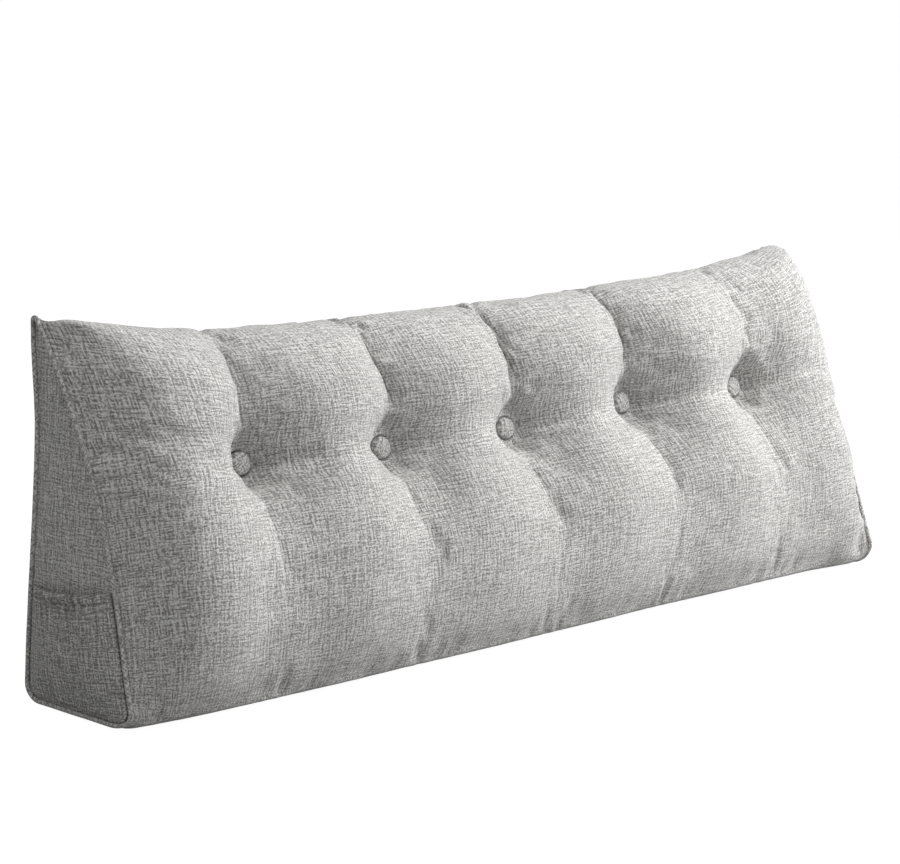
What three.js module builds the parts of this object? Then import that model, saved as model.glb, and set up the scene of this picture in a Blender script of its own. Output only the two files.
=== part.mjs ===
// Wedge reading pillow: a long button-tufted back rest of linen-look cloth, filled solid.
// A corded seam runs round each end panel, and the left end carries an elastic-topped pocket.
// Millimetres. +X runs along the pillow, -Y is its leaning face and +Z is up. The origin is the
// middle of the base, on the surface that the pillow stands on.
import * as THREE from "three";

// Driving dimensions of the filled body
const LENGTH = 1500;
const HALF_LENGTH = LENGTH / 2;
const HEIGHT = 500;
const BACK_Y = 92;
// Depth of the body at its foot, at places along it
const FOOT_LINE = [
  { x: -750, depth: 207 },
  { x: -500, depth: 215 },
  { x: -100, depth: 216 },
  { x: 250, depth: 211 },
  { x: 600, depth: 214 },
  { x: 750, depth: 236 },
];
const FOOT_HEIGHT = 15;
const FOOT_HEIGHT_END = { left: 22, right: 36 };
const FOOT_REACH = 60;

// Rounded top: sharp ears at the ends, a fat roll between them
const EAR_RADIUS = 3;
const ROLL_RADIUS = 50;
const ROLL_REACH = 110;
const SAG = { left: 41, right: 36 };
const SAG_REACH = { left: 136, right: 145 };
const SAG_POWER = { left: 1, right: 1.4 };
const SAG_BLEND = 500;
const RIGHT_EAR_DROP = 17;
const RIGHT_EAR_REACH = 60;

// Upright back, its lean at the ends and the lower corners
const BACK_SWELL = 10;
const BACK_SWELL_REACH = 60;
const BACK_LEAN = 13;
const BACK_LEAN_FOOT = 0.35;
const BACK_PULL = 0.9;
const BACK_PULL_MIDDLE = 0.7;
const HEEL_RADIUS = 23;
const TOE_RUN = 40;
const BASE_LIFT = { left: 7, right: 4.5 };
const BASE_LIFT_REACH = 35;
const BASE_LIFT_HEIGHT = 60;

// Outward bow of the leaning face beside the end seams
const SEAM_BOW = { left: 33, right: 14 };
const SEAM_BOW_SKEW = 1.1;
const SEAM_BOW_FULLNESS = 0.95;
const SEAM_FLANK = 2.7;

// Buttons: place along the pillow and rise over the row. Below each one its channel drifts to +X
// by lean and bows out by bow, and above it the channel bows out by swerve.
const BUTTON_ROW_HEIGHT = 298.5;
const BUTTONS = [
  { x: -508, rise: 4, lean: -6, bow: 13, swerve: -3 },
  { x: -253, rise: -4, lean: 4, bow: 18, swerve: 12 },
  { x: -5, rise: -5, lean: 14, bow: 17, swerve: 10 },
  { x: 250, rise: 4, lean: 12, bow: 33, swerve: 2 },
  { x: 512, rise: 0, lean: 27, bow: 13, swerve: 6 },
];
const BUTTON_RADIUS = 15.5;
const BUTTON_BACK_RADIUS = 13;
const BUTTON_RIM_HEIGHT = 3;
const BUTTON_SHOULDER = { radius: 13.5, height: 6.6 };
const BUTTON_HEIGHT = 8.5;
const BUTTON_GAP = 0.6;
const BUTTON_SIDES = 20;
const BUTTON_DOME_STEPS = 6;
const SEAT_RADIUS = 17;
const SEAT_REACH = 32;
const CHANNEL_LEAN_START = 0.7;
const CHANNEL_BOW_MIDDLE = 0.45;
const CHANNEL_SWERVE_MIDDLE = 0.4;

// Form of the puffs up the face. place is -1 at the foot, 0 at the buttons, 1 where the top roll
// starts and past 1 over the roll. crest and floor are heights of a puff's middle and of the
// channel beside it, left and right set how steep its two sides are, and soft how far they are
// rounded over.
const FACE_FORM = [
  { place: -1.0, crest: 6, floor: 2, left: 4.3, right: 3.4, soft: 0.7 },
  { place: -0.85, crest: 40, floor: 23, left: 3.9, right: 4.0, soft: 0.3 },
  { place: -0.65, crest: 63, floor: 39, left: 3.3, right: 4.4, soft: 0.16 },
  { place: -0.4, crest: 75, floor: 46, left: 2.7, right: 4.4, soft: 0.22 },
  { place: -0.18, crest: 72, floor: 30, left: 2.4, right: 3.8, soft: 0.35 },
  { place: 0.0, crest: 67, floor: 6, left: 2.3, right: 3.0, soft: 0.62 },
  { place: 0.18, crest: 74, floor: 11, left: 2.3, right: 2.7, soft: 0.6 },
  { place: 0.4, crest: 80, floor: 18, left: 2.3, right: 2.8, soft: 0.36 },
  { place: 0.65, crest: 78, floor: 20, left: 2.1, right: 3.2, soft: 0.16 },
  { place: 0.9, crest: 62, floor: 12, left: 2.1, right: 3.4, soft: 0.1 },
  { place: 1.2, crest: 26, floor: 3, left: 2.8, right: 3.0, soft: 0.15 },
  { place: 1.6, crest: 3, floor: 1, left: 4.0, right: 2.3, soft: 0.25 },
];

// How full each puff is below and above the button row, from the left end to the right one.
const PUFF_FULLNESS = [
  { lower: 1.28, upper: 1.06 },
  { lower: 1.15, upper: 0.86 },
  { lower: 0.94, upper: 0.74 },
  { lower: 0.94, upper: 0.72 },
  { lower: 0.92, upper: 0.97 },
  { lower: 0.74, upper: 0.82 },
];
const FULLNESS_BLEND = 0.3;
const ROLL_PLACE_SPAN = 1.76;
const END_ROW_FILL = 13;
const END_ROW_WIDTH = 0.22;
const END_ROW_FADE = { from: 0.2, to: 0.9 };

// End panels, the cord in their seam, and the pocket
const PANEL_SWELL = 5;
const PANEL_SWELL_REACH = 30;
const PANEL_RINGS = [0.94, 0.8, 0.55, 0.28];
const CORD_RADIUS = 2.5;
const CORD_OUT = 2.75;
const CORD_RISE = 1.1;
const CORD_SIDES = 8;
const POCKET_THICKNESS = 2;
const POCKET_GAP = 0.4;
const POCKET_INSET = 6;
const POCKET_FOOT = 15;
const POCKET_MOUTH = { front: 175, back: 158, sag: 4 };
const POCKET_BELLY = 14;
const POCKET_BELLY_SHAPE = 0.7;
const POCKET_BELLY_RISE = 2.2;
const POCKET_GATHERS = 9;
const POCKET_GATHER_DEPTH = 1.5;
const POCKET_COLUMNS = 45;
const POCKET_ROWS = [0, 0.12, 0.3, 0.5, 0.66, 0.79, 0.89, 0.95, 1];

// Mesh steps: millimetres from a button towards the middle of a puff, places up the face, and
// the number of steps on each other stretch of the outline
const PUFF_STEPS = [0, 9, 18, 28, 45, 75, 125];
const FACE_PLACES = [
  -1, -0.88, -0.74, -0.6, -0.47, -0.35, -0.25, -0.16, -0.1, -0.062, -0.031,
  0, 0.065, 0.13, 0.21, 0.33, 0.5, 0.7, 0.88,
];
const ROLL_STEPS = 8;
const BACK_STEPS = 6;
const HEEL_STEPS = 3;
const BASE_STEPS = 4;
const TOE_STEPS = 4;

const clamp = THREE.MathUtils.clamp;
const lerp = THREE.MathUtils.lerp;
const smoothstep = THREE.MathUtils.smoothstep;

// A smooth curve through a table's values that never overshoots them.
class SmoothTable {
  constructor(places, values) {
    this.places = places;
    this.values = values;
    const rises = values.slice(1).map((v, i) => (v - values[i]) / (places[i + 1] - places[i]));
    this.slopes = values.map((_, i) => {
      const before = rises[Math.max(i - 1, 0)];
      const after = rises[Math.min(i, rises.length - 1)];
      return before * after > 0 ? (2 * before * after) / (before + after) : 0;
    });
  }

  at(place) {
    const { places, values, slopes } = this;
    const p = clamp(place, places[0], places[places.length - 1]);
    const i = clamp(places.findIndex((v) => v > p) - 1, 0, places.length - 2);
    const k = p >= places[places.length - 1] ? places.length - 2 : i;
    const span = places[k + 1] - places[k];
    const t = (p - places[k]) / span;
    const t2 = t * t;
    const t3 = t2 * t;
    return (
      (2 * t3 - 3 * t2 + 1) * values[k] +
      (t3 - 2 * t2 + t) * span * slopes[k] +
      (3 * t2 - 2 * t3) * values[k + 1] +
      (t3 - t2) * span * slopes[k + 1]
    );
  }
}

const formTable = (key) => new SmoothTable(
  FACE_FORM.map((row) => row.place),
  FACE_FORM.map((row) => row[key]),
);
const form = {
  crest: formTable("crest"),
  floor: formTable("floor"),
  left: formTable("left"),
  right: formTable("right"),
  soft: formTable("soft"),
};
const footDepth = new SmoothTable(
  FOOT_LINE.map((row) => row.x),
  FOOT_LINE.map((row) => row.depth),
);

// The puffs' borders: the left end seam, the five buttons' channels and the right end seam.
const endBorder = (side) => ({ x: side * HALF_LENGTH, rise: 0, lean: 0, bow: 0, swerve: 0 });
const BORDERS = [endBorder(-1), ...BUTTONS, endBorder(1)];
const PUFF_COUNT = BORDERS.length - 1;

// Which puff x lies in, and how far across it, from 0 to 1.
function puffAt(x) {
  let index = 0;
  while (index < PUFF_COUNT - 1 && x >= BORDERS[index + 1].x) {
    index += 1;
  }
  const across = (x - BORDERS[index].x) / (BORDERS[index + 1].x - BORDERS[index].x);
  return { index, across: clamp(across, 0, 1) };
}

// A border value carried smoothly from one side of the puff to the other.
function borderValue(puff, key) {
  return lerp(BORDERS[puff.index][key], BORDERS[puff.index + 1][key], puff.across);
}

// The sizes of the plain outline at x, before the puffs are raised on it.
function outlineAt(x) {
  const fromEnd = Math.max(HALF_LENGTH - Math.abs(x), 0);
  const side = x > 0 ? "right" : "left";
  const nearEnd = Math.exp(-fromEnd / ROLL_REACH);
  const sagDepth = x > 0 ? lerp(SAG.left, SAG.right, smoothstep(x, 0, SAG_BLEND)) : SAG.left;
  const sag = sagDepth * (1 - Math.exp(-((fromEnd / SAG_REACH[side]) ** SAG_POWER[side])));
  const earDrop = x > 0 ? RIGHT_EAR_DROP * Math.exp(-fromEnd / RIGHT_EAR_REACH) : 0;
  const radius = lerp(ROLL_RADIUS, EAR_RADIUS, nearEnd);
  const lean = BACK_LEAN * nearEnd;
  const footY = BACK_Y - footDepth.at(x);
  const footZ = lerp(FOOT_HEIGHT, FOOT_HEIGHT_END[side], Math.exp(-fromEnd / FOOT_REACH));
  const rollY = BACK_Y - lean - radius;
  const rollZ = HEIGHT - sag - earDrop - radius;
  const toRoll = Math.hypot(rollY - footY, rollZ - footZ);
  const slope = Math.atan2(rollZ - footZ, rollY - footY) + Math.asin(radius / toRoll);
  const faceLength = Math.sqrt(toRoll ** 2 - radius ** 2);
  const puff = puffAt(x);
  const rowHeight = BUTTON_ROW_HEIGHT + borderValue(puff, "rise");
  return {
    x,
    puff,
    radius,
    lean,
    footY,
    footZ,
    rollY,
    rollZ,
    slope,
    faceLength,
    rowShare: (rowHeight - footZ) / (Math.sin(slope) * faceLength),
    bow: SEAM_BOW[side] * nearEnd,
    backSwell: BACK_SWELL * (1 - Math.exp(-fromEnd / BACK_SWELL_REACH)),
    lift: BASE_LIFT[side] * (1 - smoothstep(fromEnd, 0, BASE_LIFT_REACH)),
    channelLean: borderValue(puff, "lean"),
    channelBow: borderValue(puff, "bow"),
    channelSwerve: borderValue(puff, "swerve"),
  };
}

// How high the puffs stand over the plain face at one place up it.
function puffHeight(outline, place) {
  const { index, across } = outline.puff;
  const signed = 2 * across - 1;
  const floor = form.floor.at(place);
  const leftFloor = index === 0 ? 0 : floor;
  const rightFloor = index === PUFF_COUNT - 1 ? 0 : floor;
  const channel = lerp(leftFloor, rightFloor, smoothstep(across, 0, 1));
  const atSeam = (index === 0 && signed < 0) || (index === PUFF_COUNT - 1 && signed > 0);
  let towardsEnd = 0;
  if (index === 0) {
    towardsEnd = 1 - across;
  } else if (index === PUFF_COUNT - 1) {
    towardsEnd = across;
  }
  const rowFill = END_ROW_FILL * Math.exp(-((place / END_ROW_WIDTH) ** 2));
  const fade = smoothstep(towardsEnd, END_ROW_FADE.from, END_ROW_FADE.to);
  const { lower, upper } = PUFF_FULLNESS[index];
  const full = lerp(lower, upper, smoothstep(place, -FULLNESS_BLEND, FULLNESS_BLEND));
  const crest = form.crest.at(place) * full + rowFill * fade;
  const ownFlank = signed < 0 ? form.left.at(place) : form.right.at(place);
  const flank = atSeam ? SEAM_FLANK : ownFlank;
  const soft = atSeam ? 0 : form.soft.at(place);
  const crisp = 1 - Math.abs(signed) ** flank;
  const round = Math.cos((Math.PI * signed) / 2) ** 2;
  const share = lerp(crisp, round, soft);
  const height = channel + (crest - channel) * share;
  return height * seatFactor(outline, place);
}

// The share of a place between the foot (0) and the start of the top roll (1).
function faceShare(outline, place) {
  return place < 0 ? outline.rowShare * (1 + place) : lerp(outline.rowShare, 1, place);
}

// Zero on a button's flat seat and 1 away from it.
function seatFactor(outline, place) {
  const upFace = (faceShare(outline, place) - outline.rowShare) * outline.faceLength;
  const distances = BUTTONS.map((button) => Math.hypot(outline.x - button.x, upFace));
  return smoothstep(Math.min(...distances), SEAT_RADIUS, SEAT_RADIUS + SEAT_REACH);
}

// A curve that rises from 0 at place 0 to 1 at middle and falls back to 0 at place 1.
function hump(place, middle) {
  return smoothstep(place, 0, middle) * (1 - smoothstep(place, middle, 1));
}

// How far the face is drawn to +X at one place, as its channels lean and bow.
function channelShift(outline, place) {
  const lean = outline.channelLean * smoothstep(-place, 0, CHANNEL_LEAN_START);
  const bow = outline.channelBow * hump(-place, CHANNEL_BOW_MIDDLE);
  return lean + bow + outline.channelSwerve * hump(place, CHANNEL_SWERVE_MIDDLE);
}

function facePoint(outline, place) {
  const share = faceShare(outline, place);
  const along = share * outline.faceLength;
  const bowShape = Math.sin(Math.PI * clamp(share, 0, 1) ** SEAM_BOW_SKEW);
  const out = outline.bow * Math.max(bowShape, 0) ** SEAM_BOW_FULLNESS + puffHeight(outline, place);
  return new THREE.Vector3(
    outline.x + channelShift(outline, place),
    outline.footY + Math.cos(outline.slope) * along - Math.sin(outline.slope) * out,
    outline.footZ + Math.sin(outline.slope) * along + Math.cos(outline.slope) * out,
  );
}

function rollPoint(outline, share) {
  const angle = (outline.slope + Math.PI / 2) * (1 - share);
  const reach = outline.radius + puffHeight(outline, 1 + share * ROLL_PLACE_SPAN);
  return new THREE.Vector3(
    outline.x,
    outline.rollY + reach * Math.cos(angle),
    outline.rollZ + reach * Math.sin(angle),
  );
}

// The y of the back at height z, which leans forward beside the ends.
function backPlane(outline, z) {
  return BACK_Y - outline.lean * lerp(BACK_LEAN_FOOT, 1, z / HEIGHT);
}

function backPoint(outline, share) {
  const z = lerp(outline.rollZ, HEEL_RADIUS, share);
  const pull = outline.lean * BACK_PULL * hump(1 - share, BACK_PULL_MIDDLE);
  const swell = outline.backSwell * Math.sin(Math.PI * share);
  return new THREE.Vector3(outline.x, backPlane(outline, z) - pull + swell, z);
}

function heelPoint(outline, share) {
  const angle = (-share * Math.PI) / 2;
  return new THREE.Vector3(
    outline.x,
    backPlane(outline, HEEL_RADIUS) - HEEL_RADIUS * (1 - Math.cos(angle)),
    HEEL_RADIUS + HEEL_RADIUS * Math.sin(angle),
  );
}

function basePoint(outline, share) {
  const heelY = backPlane(outline, HEEL_RADIUS) - HEEL_RADIUS;
  const y = lerp(heelY, outline.footY + TOE_RUN, share);
  return new THREE.Vector3(outline.x + outline.channelLean * share, y, 0);
}

function toePoint(outline, share) {
  const angle = (-Math.PI / 2) * (1 + share);
  const puff = puffHeight(outline, -1) * Math.sin((share * Math.PI) / 2);
  return new THREE.Vector3(
    outline.x + outline.channelLean,
    outline.footY + TOE_RUN + TOE_RUN * Math.cos(angle) - puff,
    outline.footZ + outline.footZ * Math.sin(angle),
  );
}

const evenSteps = (count) => Array.from({ length: count }, (_, i) => i / count);

// The closed outline at x: up the face, over the roll, down the back and along the base.
function outlineLoop(x) {
  const outline = outlineAt(x);
  const loop = [
    ...FACE_PLACES.map((place) => facePoint(outline, place)),
    ...evenSteps(ROLL_STEPS).map((share) => rollPoint(outline, share)),
    ...evenSteps(BACK_STEPS).map((share) => backPoint(outline, share)),
    ...evenSteps(HEEL_STEPS).map((share) => heelPoint(outline, share)),
    ...evenSteps(BASE_STEPS).map((share) => basePoint(outline, share)),
    ...evenSteps(TOE_STEPS).map((share) => toePoint(outline, share)),
  ];
  for (const point of loop) {
    point.z += outline.lift * clamp(1 - point.z / BASE_LIFT_HEIGHT, 0, 1);
  }
  return loop;
}

// Places along the pillow, close together beside each channel and seam.
function stationPlaces() {
  const halfPuff = PUFF_STEPS[PUFF_STEPS.length - 1];
  const left = PUFF_STEPS.map((step) => step / (2 * halfPuff));
  const right = left.slice(0, -1).reverse().map((share) => 1 - share);
  const shares = [...left, ...right];
  const places = [-HALF_LENGTH];
  for (let i = 0; i < PUFF_COUNT; i += 1) {
    const from = BORDERS[i].x;
    const to = BORDERS[i + 1].x;
    places.push(...shares.slice(1).map((share) => lerp(from, to, share)));
  }
  return places;
}

// Collects points and triangles of one closed body.
class Body {
  constructor() {
    this.positions = [];
    this.triangles = [];
  }

  addLoop(points) {
    const first = this.positions.length / 3;
    for (const p of points) {
      this.positions.push(p.x, p.y, p.z);
    }
    return points.map((_, i) => first + i);
  }

  addTriangle(a, b, c) {
    this.triangles.push(a, b, c);
  }

  // Joins two rows of points with quads, closing the rows on themselves if asked.
  joinRows(low, high, closed) {
    const count = closed ? low.length : low.length - 1;
    for (let i = 0; i < count; i += 1) {
      const next = (i + 1) % low.length;
      this.addTriangle(low[i], low[next], high[next]);
      this.addTriangle(low[i], high[next], high[i]);
    }
  }

  fan(loop, middle) {
    for (let i = 0; i < loop.length; i += 1) {
      this.addTriangle(loop[i], loop[(i + 1) % loop.length], middle);
    }
  }

  geometry() {
    const geometry = new THREE.BufferGeometry();
    geometry.setAttribute("position", new THREE.Float32BufferAttribute(this.positions, 3));
    geometry.setIndex(this.triangles);
    geometry.computeVertexNormals();
    return geometry;
  }
}

// Distance in the panel's plane from a point to the panel's seam.
function seamDistance(seam, y, z) {
  const point = new THREE.Vector3(0, y, z);
  const nearest = new THREE.Vector3();
  const distances = seam.map((from, i) => {
    const to = seam[(i + 1) % seam.length];
    const line = new THREE.Line3(new THREE.Vector3(0, from.y, from.z), new THREE.Vector3(0, to.y, to.z));
    return line.closestPointToPoint(point, true, nearest).distanceTo(point);
  });
  return Math.min(...distances);
}

// How far an end panel swells past its seam.
function panelSwell(seam, y, z) {
  return PANEL_SWELL * (1 - Math.exp(-seamDistance(seam, y, z) / PANEL_SWELL_REACH));
}

// Rings of points over an end panel, shrinking to one point in its middle.
function addPanel(body, seamIndices, seam, side) {
  const middle = new THREE.Vector3();
  for (const point of seam) {
    middle.addScaledVector(point, 1 / seam.length);
  }
  const place = (y, z) => new THREE.Vector3(side * (HALF_LENGTH + panelSwell(seam, y, z)), y, z);
  let outer = seamIndices;
  for (const scale of PANEL_RINGS) {
    const ring = seam.map((p) => place(lerp(middle.y, p.y, scale), lerp(middle.z, p.z, scale)));
    const inner = body.addLoop(ring);
    if (side < 0) {
      body.joinRows(outer, inner, true);
    } else {
      body.joinRows(inner, outer, true);
    }
    outer = inner;
  }
  const [centre] = body.addLoop([place(middle.y, middle.z)]);
  body.fan(side < 0 ? outer : [...outer].reverse(), centre);
}

function cushionGeometry() {
  const body = new Body();
  const loops = stationPlaces().map(outlineLoop);
  const rows = loops.map((loop) => body.addLoop(loop));
  for (let i = 0; i < rows.length - 1; i += 1) {
    body.joinRows(rows[i + 1], rows[i], true);
  }
  const last = rows.length - 1;
  addPanel(body, rows[0], loops[0], -1);
  addPanel(body, rows[last], loops[last], 1);
  return body.geometry();
}

// The cord covered in the pillow's own cloth, sewn into the seam round one end panel.
function cordGeometry(side) {
  const seam = outlineLoop(side * HALF_LENGTH);
  const body = new Body();
  const rings = seam.map((point, i) => {
    const before = seam[(i + seam.length - 1) % seam.length];
    const after = seam[(i + 1) % seam.length];
    const run = new THREE.Vector3().subVectors(after, before).setX(0).normalize();
    const outward = new THREE.Vector3(0, -run.z, run.y);
    const across = new THREE.Vector3(side, 0, 0);
    const centre = point.clone().addScaledVector(across, CORD_OUT).addScaledVector(outward, CORD_RISE);
    const ring = evenSteps(CORD_SIDES).map((share) => {
      const angle = share * 2 * Math.PI * side;
      const spoke = across.clone().multiplyScalar(Math.cos(angle));
      spoke.addScaledVector(outward, Math.sin(angle));
      return centre.clone().addScaledVector(spoke, CORD_RADIUS);
    });
    return body.addLoop(ring);
  });
  for (let i = 0; i < rings.length; i += 1) {
    body.joinRows(rings[(i + 1) % rings.length], rings[i], true);
  }
  return body.geometry();
}

// A cloth-covered button: a low dome with a rounded rim and a flat back.
function buttonGeometry() {
  const dome = new THREE.CubicBezierCurve(
    new THREE.Vector2(BUTTON_RADIUS, BUTTON_RIM_HEIGHT),
    new THREE.Vector2(BUTTON_RADIUS, BUTTON_SHOULDER.height),
    new THREE.Vector2(BUTTON_SHOULDER.radius, BUTTON_HEIGHT),
    new THREE.Vector2(0, BUTTON_HEIGHT),
  );
  const profile = [
    new THREE.Vector2(0, 0),
    new THREE.Vector2(BUTTON_BACK_RADIUS, 0),
    ...dome.getPoints(BUTTON_DOME_STEPS),
  ];
  return new THREE.LatheGeometry(profile, BUTTON_SIDES);
}

// The y range of the end panel at one height.
function panelRange(seam, z) {
  const crossings = [];
  seam.forEach((from, i) => {
    const to = seam[(i + 1) % seam.length];
    if ((from.z - z) * (to.z - z) < 0) {
      crossings.push(lerp(from.y, to.y, (z - from.z) / (to.z - from.z)));
    }
  });
  return { front: Math.min(...crossings) + POCKET_INSET, back: Math.max(...crossings) - POCKET_INSET };
}

// One point of the pocket: across from its front edge to its back edge, up from foot to mouth.
function pocketPoint(seam, across, up, layer) {
  const hem = lerp(POCKET_MOUTH.front, POCKET_MOUTH.back, across);
  const mouth = hem - POCKET_MOUTH.sag * Math.sin(Math.PI * across);
  const z = lerp(POCKET_FOOT, mouth, up);
  const range = panelRange(seam, z);
  const y = lerp(range.front, range.back, across);
  const arch = Math.max(Math.sin(Math.PI * across), 0) ** POCKET_BELLY_SHAPE;
  const belly = POCKET_BELLY * arch * (1 - (1 - up) ** POCKET_BELLY_RISE);
  const gather = POCKET_GATHER_DEPTH * up ** 3 * arch * Math.sin(2 * Math.PI * POCKET_GATHERS * across);
  const out = panelSwell(seam, y, z) + POCKET_GAP + belly + gather + layer * POCKET_THICKNESS;
  return new THREE.Vector3(-HALF_LENGTH - out, y, z);
}

function pocketGeometry() {
  const seam = outlineLoop(-HALF_LENGTH);
  const body = new Body();
  const columns = Array.from({ length: POCKET_COLUMNS + 1 }, (_, i) => i / POCKET_COLUMNS);
  const skin = (layer) => POCKET_ROWS.map((up) => (
    body.addLoop(columns.map((across) => pocketPoint(seam, across, up, layer)))
  ));
  const inner = skin(0);
  const outer = skin(1);
  const top = POCKET_ROWS.length - 1;
  for (let i = 0; i < top; i += 1) {
    body.joinRows(outer[i + 1], outer[i], false);
    body.joinRows(inner[i], inner[i + 1], false);
  }
  body.joinRows(outer[0], inner[0], false);
  body.joinRows(inner[top], outer[top], false);
  const edge = (skinRows, column) => skinRows.map((row) => row[column]);
  body.joinRows(edge(inner, 0), edge(outer, 0), false);
  body.joinRows(edge(outer, POCKET_COLUMNS), edge(inner, POCKET_COLUMNS), false);
  return body.geometry();
}

const linen = { color: 0xb4b2ae, roughness: 0.95, metalness: 0 };
const pieces = {
  cushion: new THREE.MeshStandardMaterial({ name: "linen_body", ...linen }),
  cord: new THREE.MeshStandardMaterial({ name: "linen_cord", ...linen }),
  pocket: new THREE.MeshStandardMaterial({ name: "linen_pocket", ...linen }),
  button: new THREE.MeshStandardMaterial({ name: "linen_button", ...linen }),
};

function namedMesh(name, geometry, material) {
  const mesh = new THREE.Mesh(geometry, material);
  mesh.name = name;
  return mesh;
}

// A button on its flat seat, facing out from the leaning face.
function seatedButton(button, number) {
  const mesh = namedMesh(`button_${number}`, buttonGeometry(), pieces.button);
  const outline = outlineAt(button.x);
  const outward = new THREE.Vector3(0, -Math.sin(outline.slope), Math.cos(outline.slope));
  mesh.quaternion.setFromUnitVectors(new THREE.Vector3(0, 1, 0), outward);
  mesh.position.copy(facePoint(outline, 0)).addScaledVector(outward, BUTTON_GAP);
  return mesh;
}

const pillow = new THREE.Group();
pillow.name = "wedge_reading_pillow";
pillow.add(namedMesh("cushion", cushionGeometry(), pieces.cushion));
pillow.add(namedMesh("piping_left", cordGeometry(-1), pieces.cord));
pillow.add(namedMesh("piping_right", cordGeometry(1), pieces.cord));
pillow.add(namedMesh("pocket", pocketGeometry(), pieces.pocket));
BUTTONS.forEach((button, i) => pillow.add(seatedButton(button, i + 1)));

export default pillow;
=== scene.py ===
"""Looks of the wedge reading pillow: a tufted back rest of grey slub linen, seen as in the photograph.

Metres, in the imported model's own frame: +X along the pillow, -Y its leaning face, +Z up.
"""

import logging
import math
from dataclasses import dataclass, field
from enum import Enum, IntEnum
from typing import Any, Callable, Iterable, Optional, Sequence

import bmesh
import bpy
import numpy as np
from mathutils import Matrix, Vector


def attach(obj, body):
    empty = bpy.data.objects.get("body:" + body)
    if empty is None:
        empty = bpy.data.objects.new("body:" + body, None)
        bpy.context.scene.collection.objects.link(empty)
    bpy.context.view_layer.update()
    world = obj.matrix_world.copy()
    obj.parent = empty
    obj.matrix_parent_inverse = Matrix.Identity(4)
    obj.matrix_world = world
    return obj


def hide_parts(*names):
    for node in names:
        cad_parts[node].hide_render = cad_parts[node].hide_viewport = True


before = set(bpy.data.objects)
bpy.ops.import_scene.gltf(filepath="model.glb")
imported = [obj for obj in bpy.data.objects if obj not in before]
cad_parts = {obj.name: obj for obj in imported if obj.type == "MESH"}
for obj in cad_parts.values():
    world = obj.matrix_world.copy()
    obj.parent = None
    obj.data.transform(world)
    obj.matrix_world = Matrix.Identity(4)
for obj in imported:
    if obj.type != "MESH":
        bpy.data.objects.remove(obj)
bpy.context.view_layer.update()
LOG = logging.getLogger("pillow")
MM = 0.001
BODY = "root"
WEAVE_MAP = "weave"
TINY = 1e-12
WHITE = (1.0, 1.0, 1.0, 1.0)


class Seed(IntEnum):
    """The numbers of the random draws, one for each kind of unevenness."""

    BROAD = 11
    FINE = 12
    LEFT_SEAM = 21
    RIGHT_SEAM = 22
    BACK = 31
    LEFT_PANEL = 39
    RIGHT_PANEL = 41


def smoothstep(value: np.ndarray, low: float, high: float) -> np.ndarray:
    """Returns 0 below low, 1 above high and an even ease between them."""
    share = np.clip((value - low) / (high - low), 0.0, 1.0)
    return share * share * (3.0 - 2.0 * share)


def mix(first: Any, second: Any, share: Any) -> Any:
    """Returns the value a share of the way from first to second."""
    return first + (second - first) * share


def bump_at(value: np.ndarray, centre: Any, width: Any) -> np.ndarray:
    """Returns a soft hump of height 1 at centre that fades over width."""
    return np.exp(-(((value - centre) / width) ** 2))


def by_end(pair: tuple[float, float], right: np.ndarray) -> np.ndarray:
    """Returns the first of a pair of sizes, or the second where right is true."""
    return np.where(right, pair[1], pair[0])


def as_points(x: np.ndarray, y: np.ndarray, z: np.ndarray) -> np.ndarray:
    """Returns points from their x, y and z, each of which may be given once for many."""
    return np.stack(np.broadcast_arrays(x, y, z), axis=-1)


class SmoothTable:
    """A smooth curve through a short table's values that never overshoots them."""

    def __init__(self, places: Sequence[float], values: Sequence[float]) -> None:
        """Works out the slopes at the table's places.

        Args:
            places: rising places along the table.
            values: the value at each place.
        """
        self.places = np.array(places, float)
        self.values = np.array(values, float)
        rises = np.diff(self.values) / np.diff(self.places)
        before = np.concatenate([rises[:1], rises])
        after = np.concatenate([rises, rises[-1:]])
        product = before * after
        total = np.where(product > 0, before + after, 1.0)
        self.slopes = np.where(product > 0, 2.0 * product / total, 0.0)

    def at(self, place: np.ndarray) -> np.ndarray:
        """Reads the curve.

        Args:
            place: places to read it at, held to the table's ends.

        Returns:
            The value at each place.
        """
        held = np.clip(place, self.places[0], self.places[-1])
        index = np.clip(np.searchsorted(self.places, held, side="right") - 1, 0, len(self.places) - 2)
        span = self.places[index + 1] - self.places[index]
        t = (held - self.places[index]) / span
        cubic = t ** 3
        square = t ** 2
        return (
            (2 * cubic - 3 * square + 1) * self.values[index]
            + (cubic - 2 * square + t) * span * self.slopes[index]
            + (3 * square - 2 * cubic) * self.values[index + 1]
            + (cubic - square) * span * self.slopes[index + 1]
        )


@dataclass(frozen=True)
class Tuft:
    """A button's place on the face and the run of the channel that it closes.

    x is its place along the pillow and rise its height over the button row. Below it the channel
    drifts to the right by lean, and bows out by bow. Above it the channel bows out by swerve, and
    calm is how far it is filled up there.
    """

    x: float
    rise: float
    lean: float
    bow: float
    swerve: float
    calm: float = 0.0


@dataclass(frozen=True)
class Outline:
    """The plain outline's sizes at each station, as columns, before the puffs are raised on it."""

    x: np.ndarray
    puff: np.ndarray
    across: np.ndarray
    radius: np.ndarray
    lean: np.ndarray
    foot_y: np.ndarray
    foot_z: np.ndarray
    roll_y: np.ndarray
    roll_z: np.ndarray
    slope: np.ndarray
    face_length: np.ndarray
    row_share: np.ndarray
    bow: np.ndarray
    back_swell: np.ndarray
    lift: np.ndarray
    channel_lean: np.ndarray
    channel_bow: np.ndarray
    channel_swerve: np.ndarray


class Stretch(Enum):
    """The stretches of the closed outline, in order round it."""

    FACE = "face"
    ROLL = "roll"
    BACK = "back"
    HEEL = "heel"
    BASE = "base"
    TOE = "toe"


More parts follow.
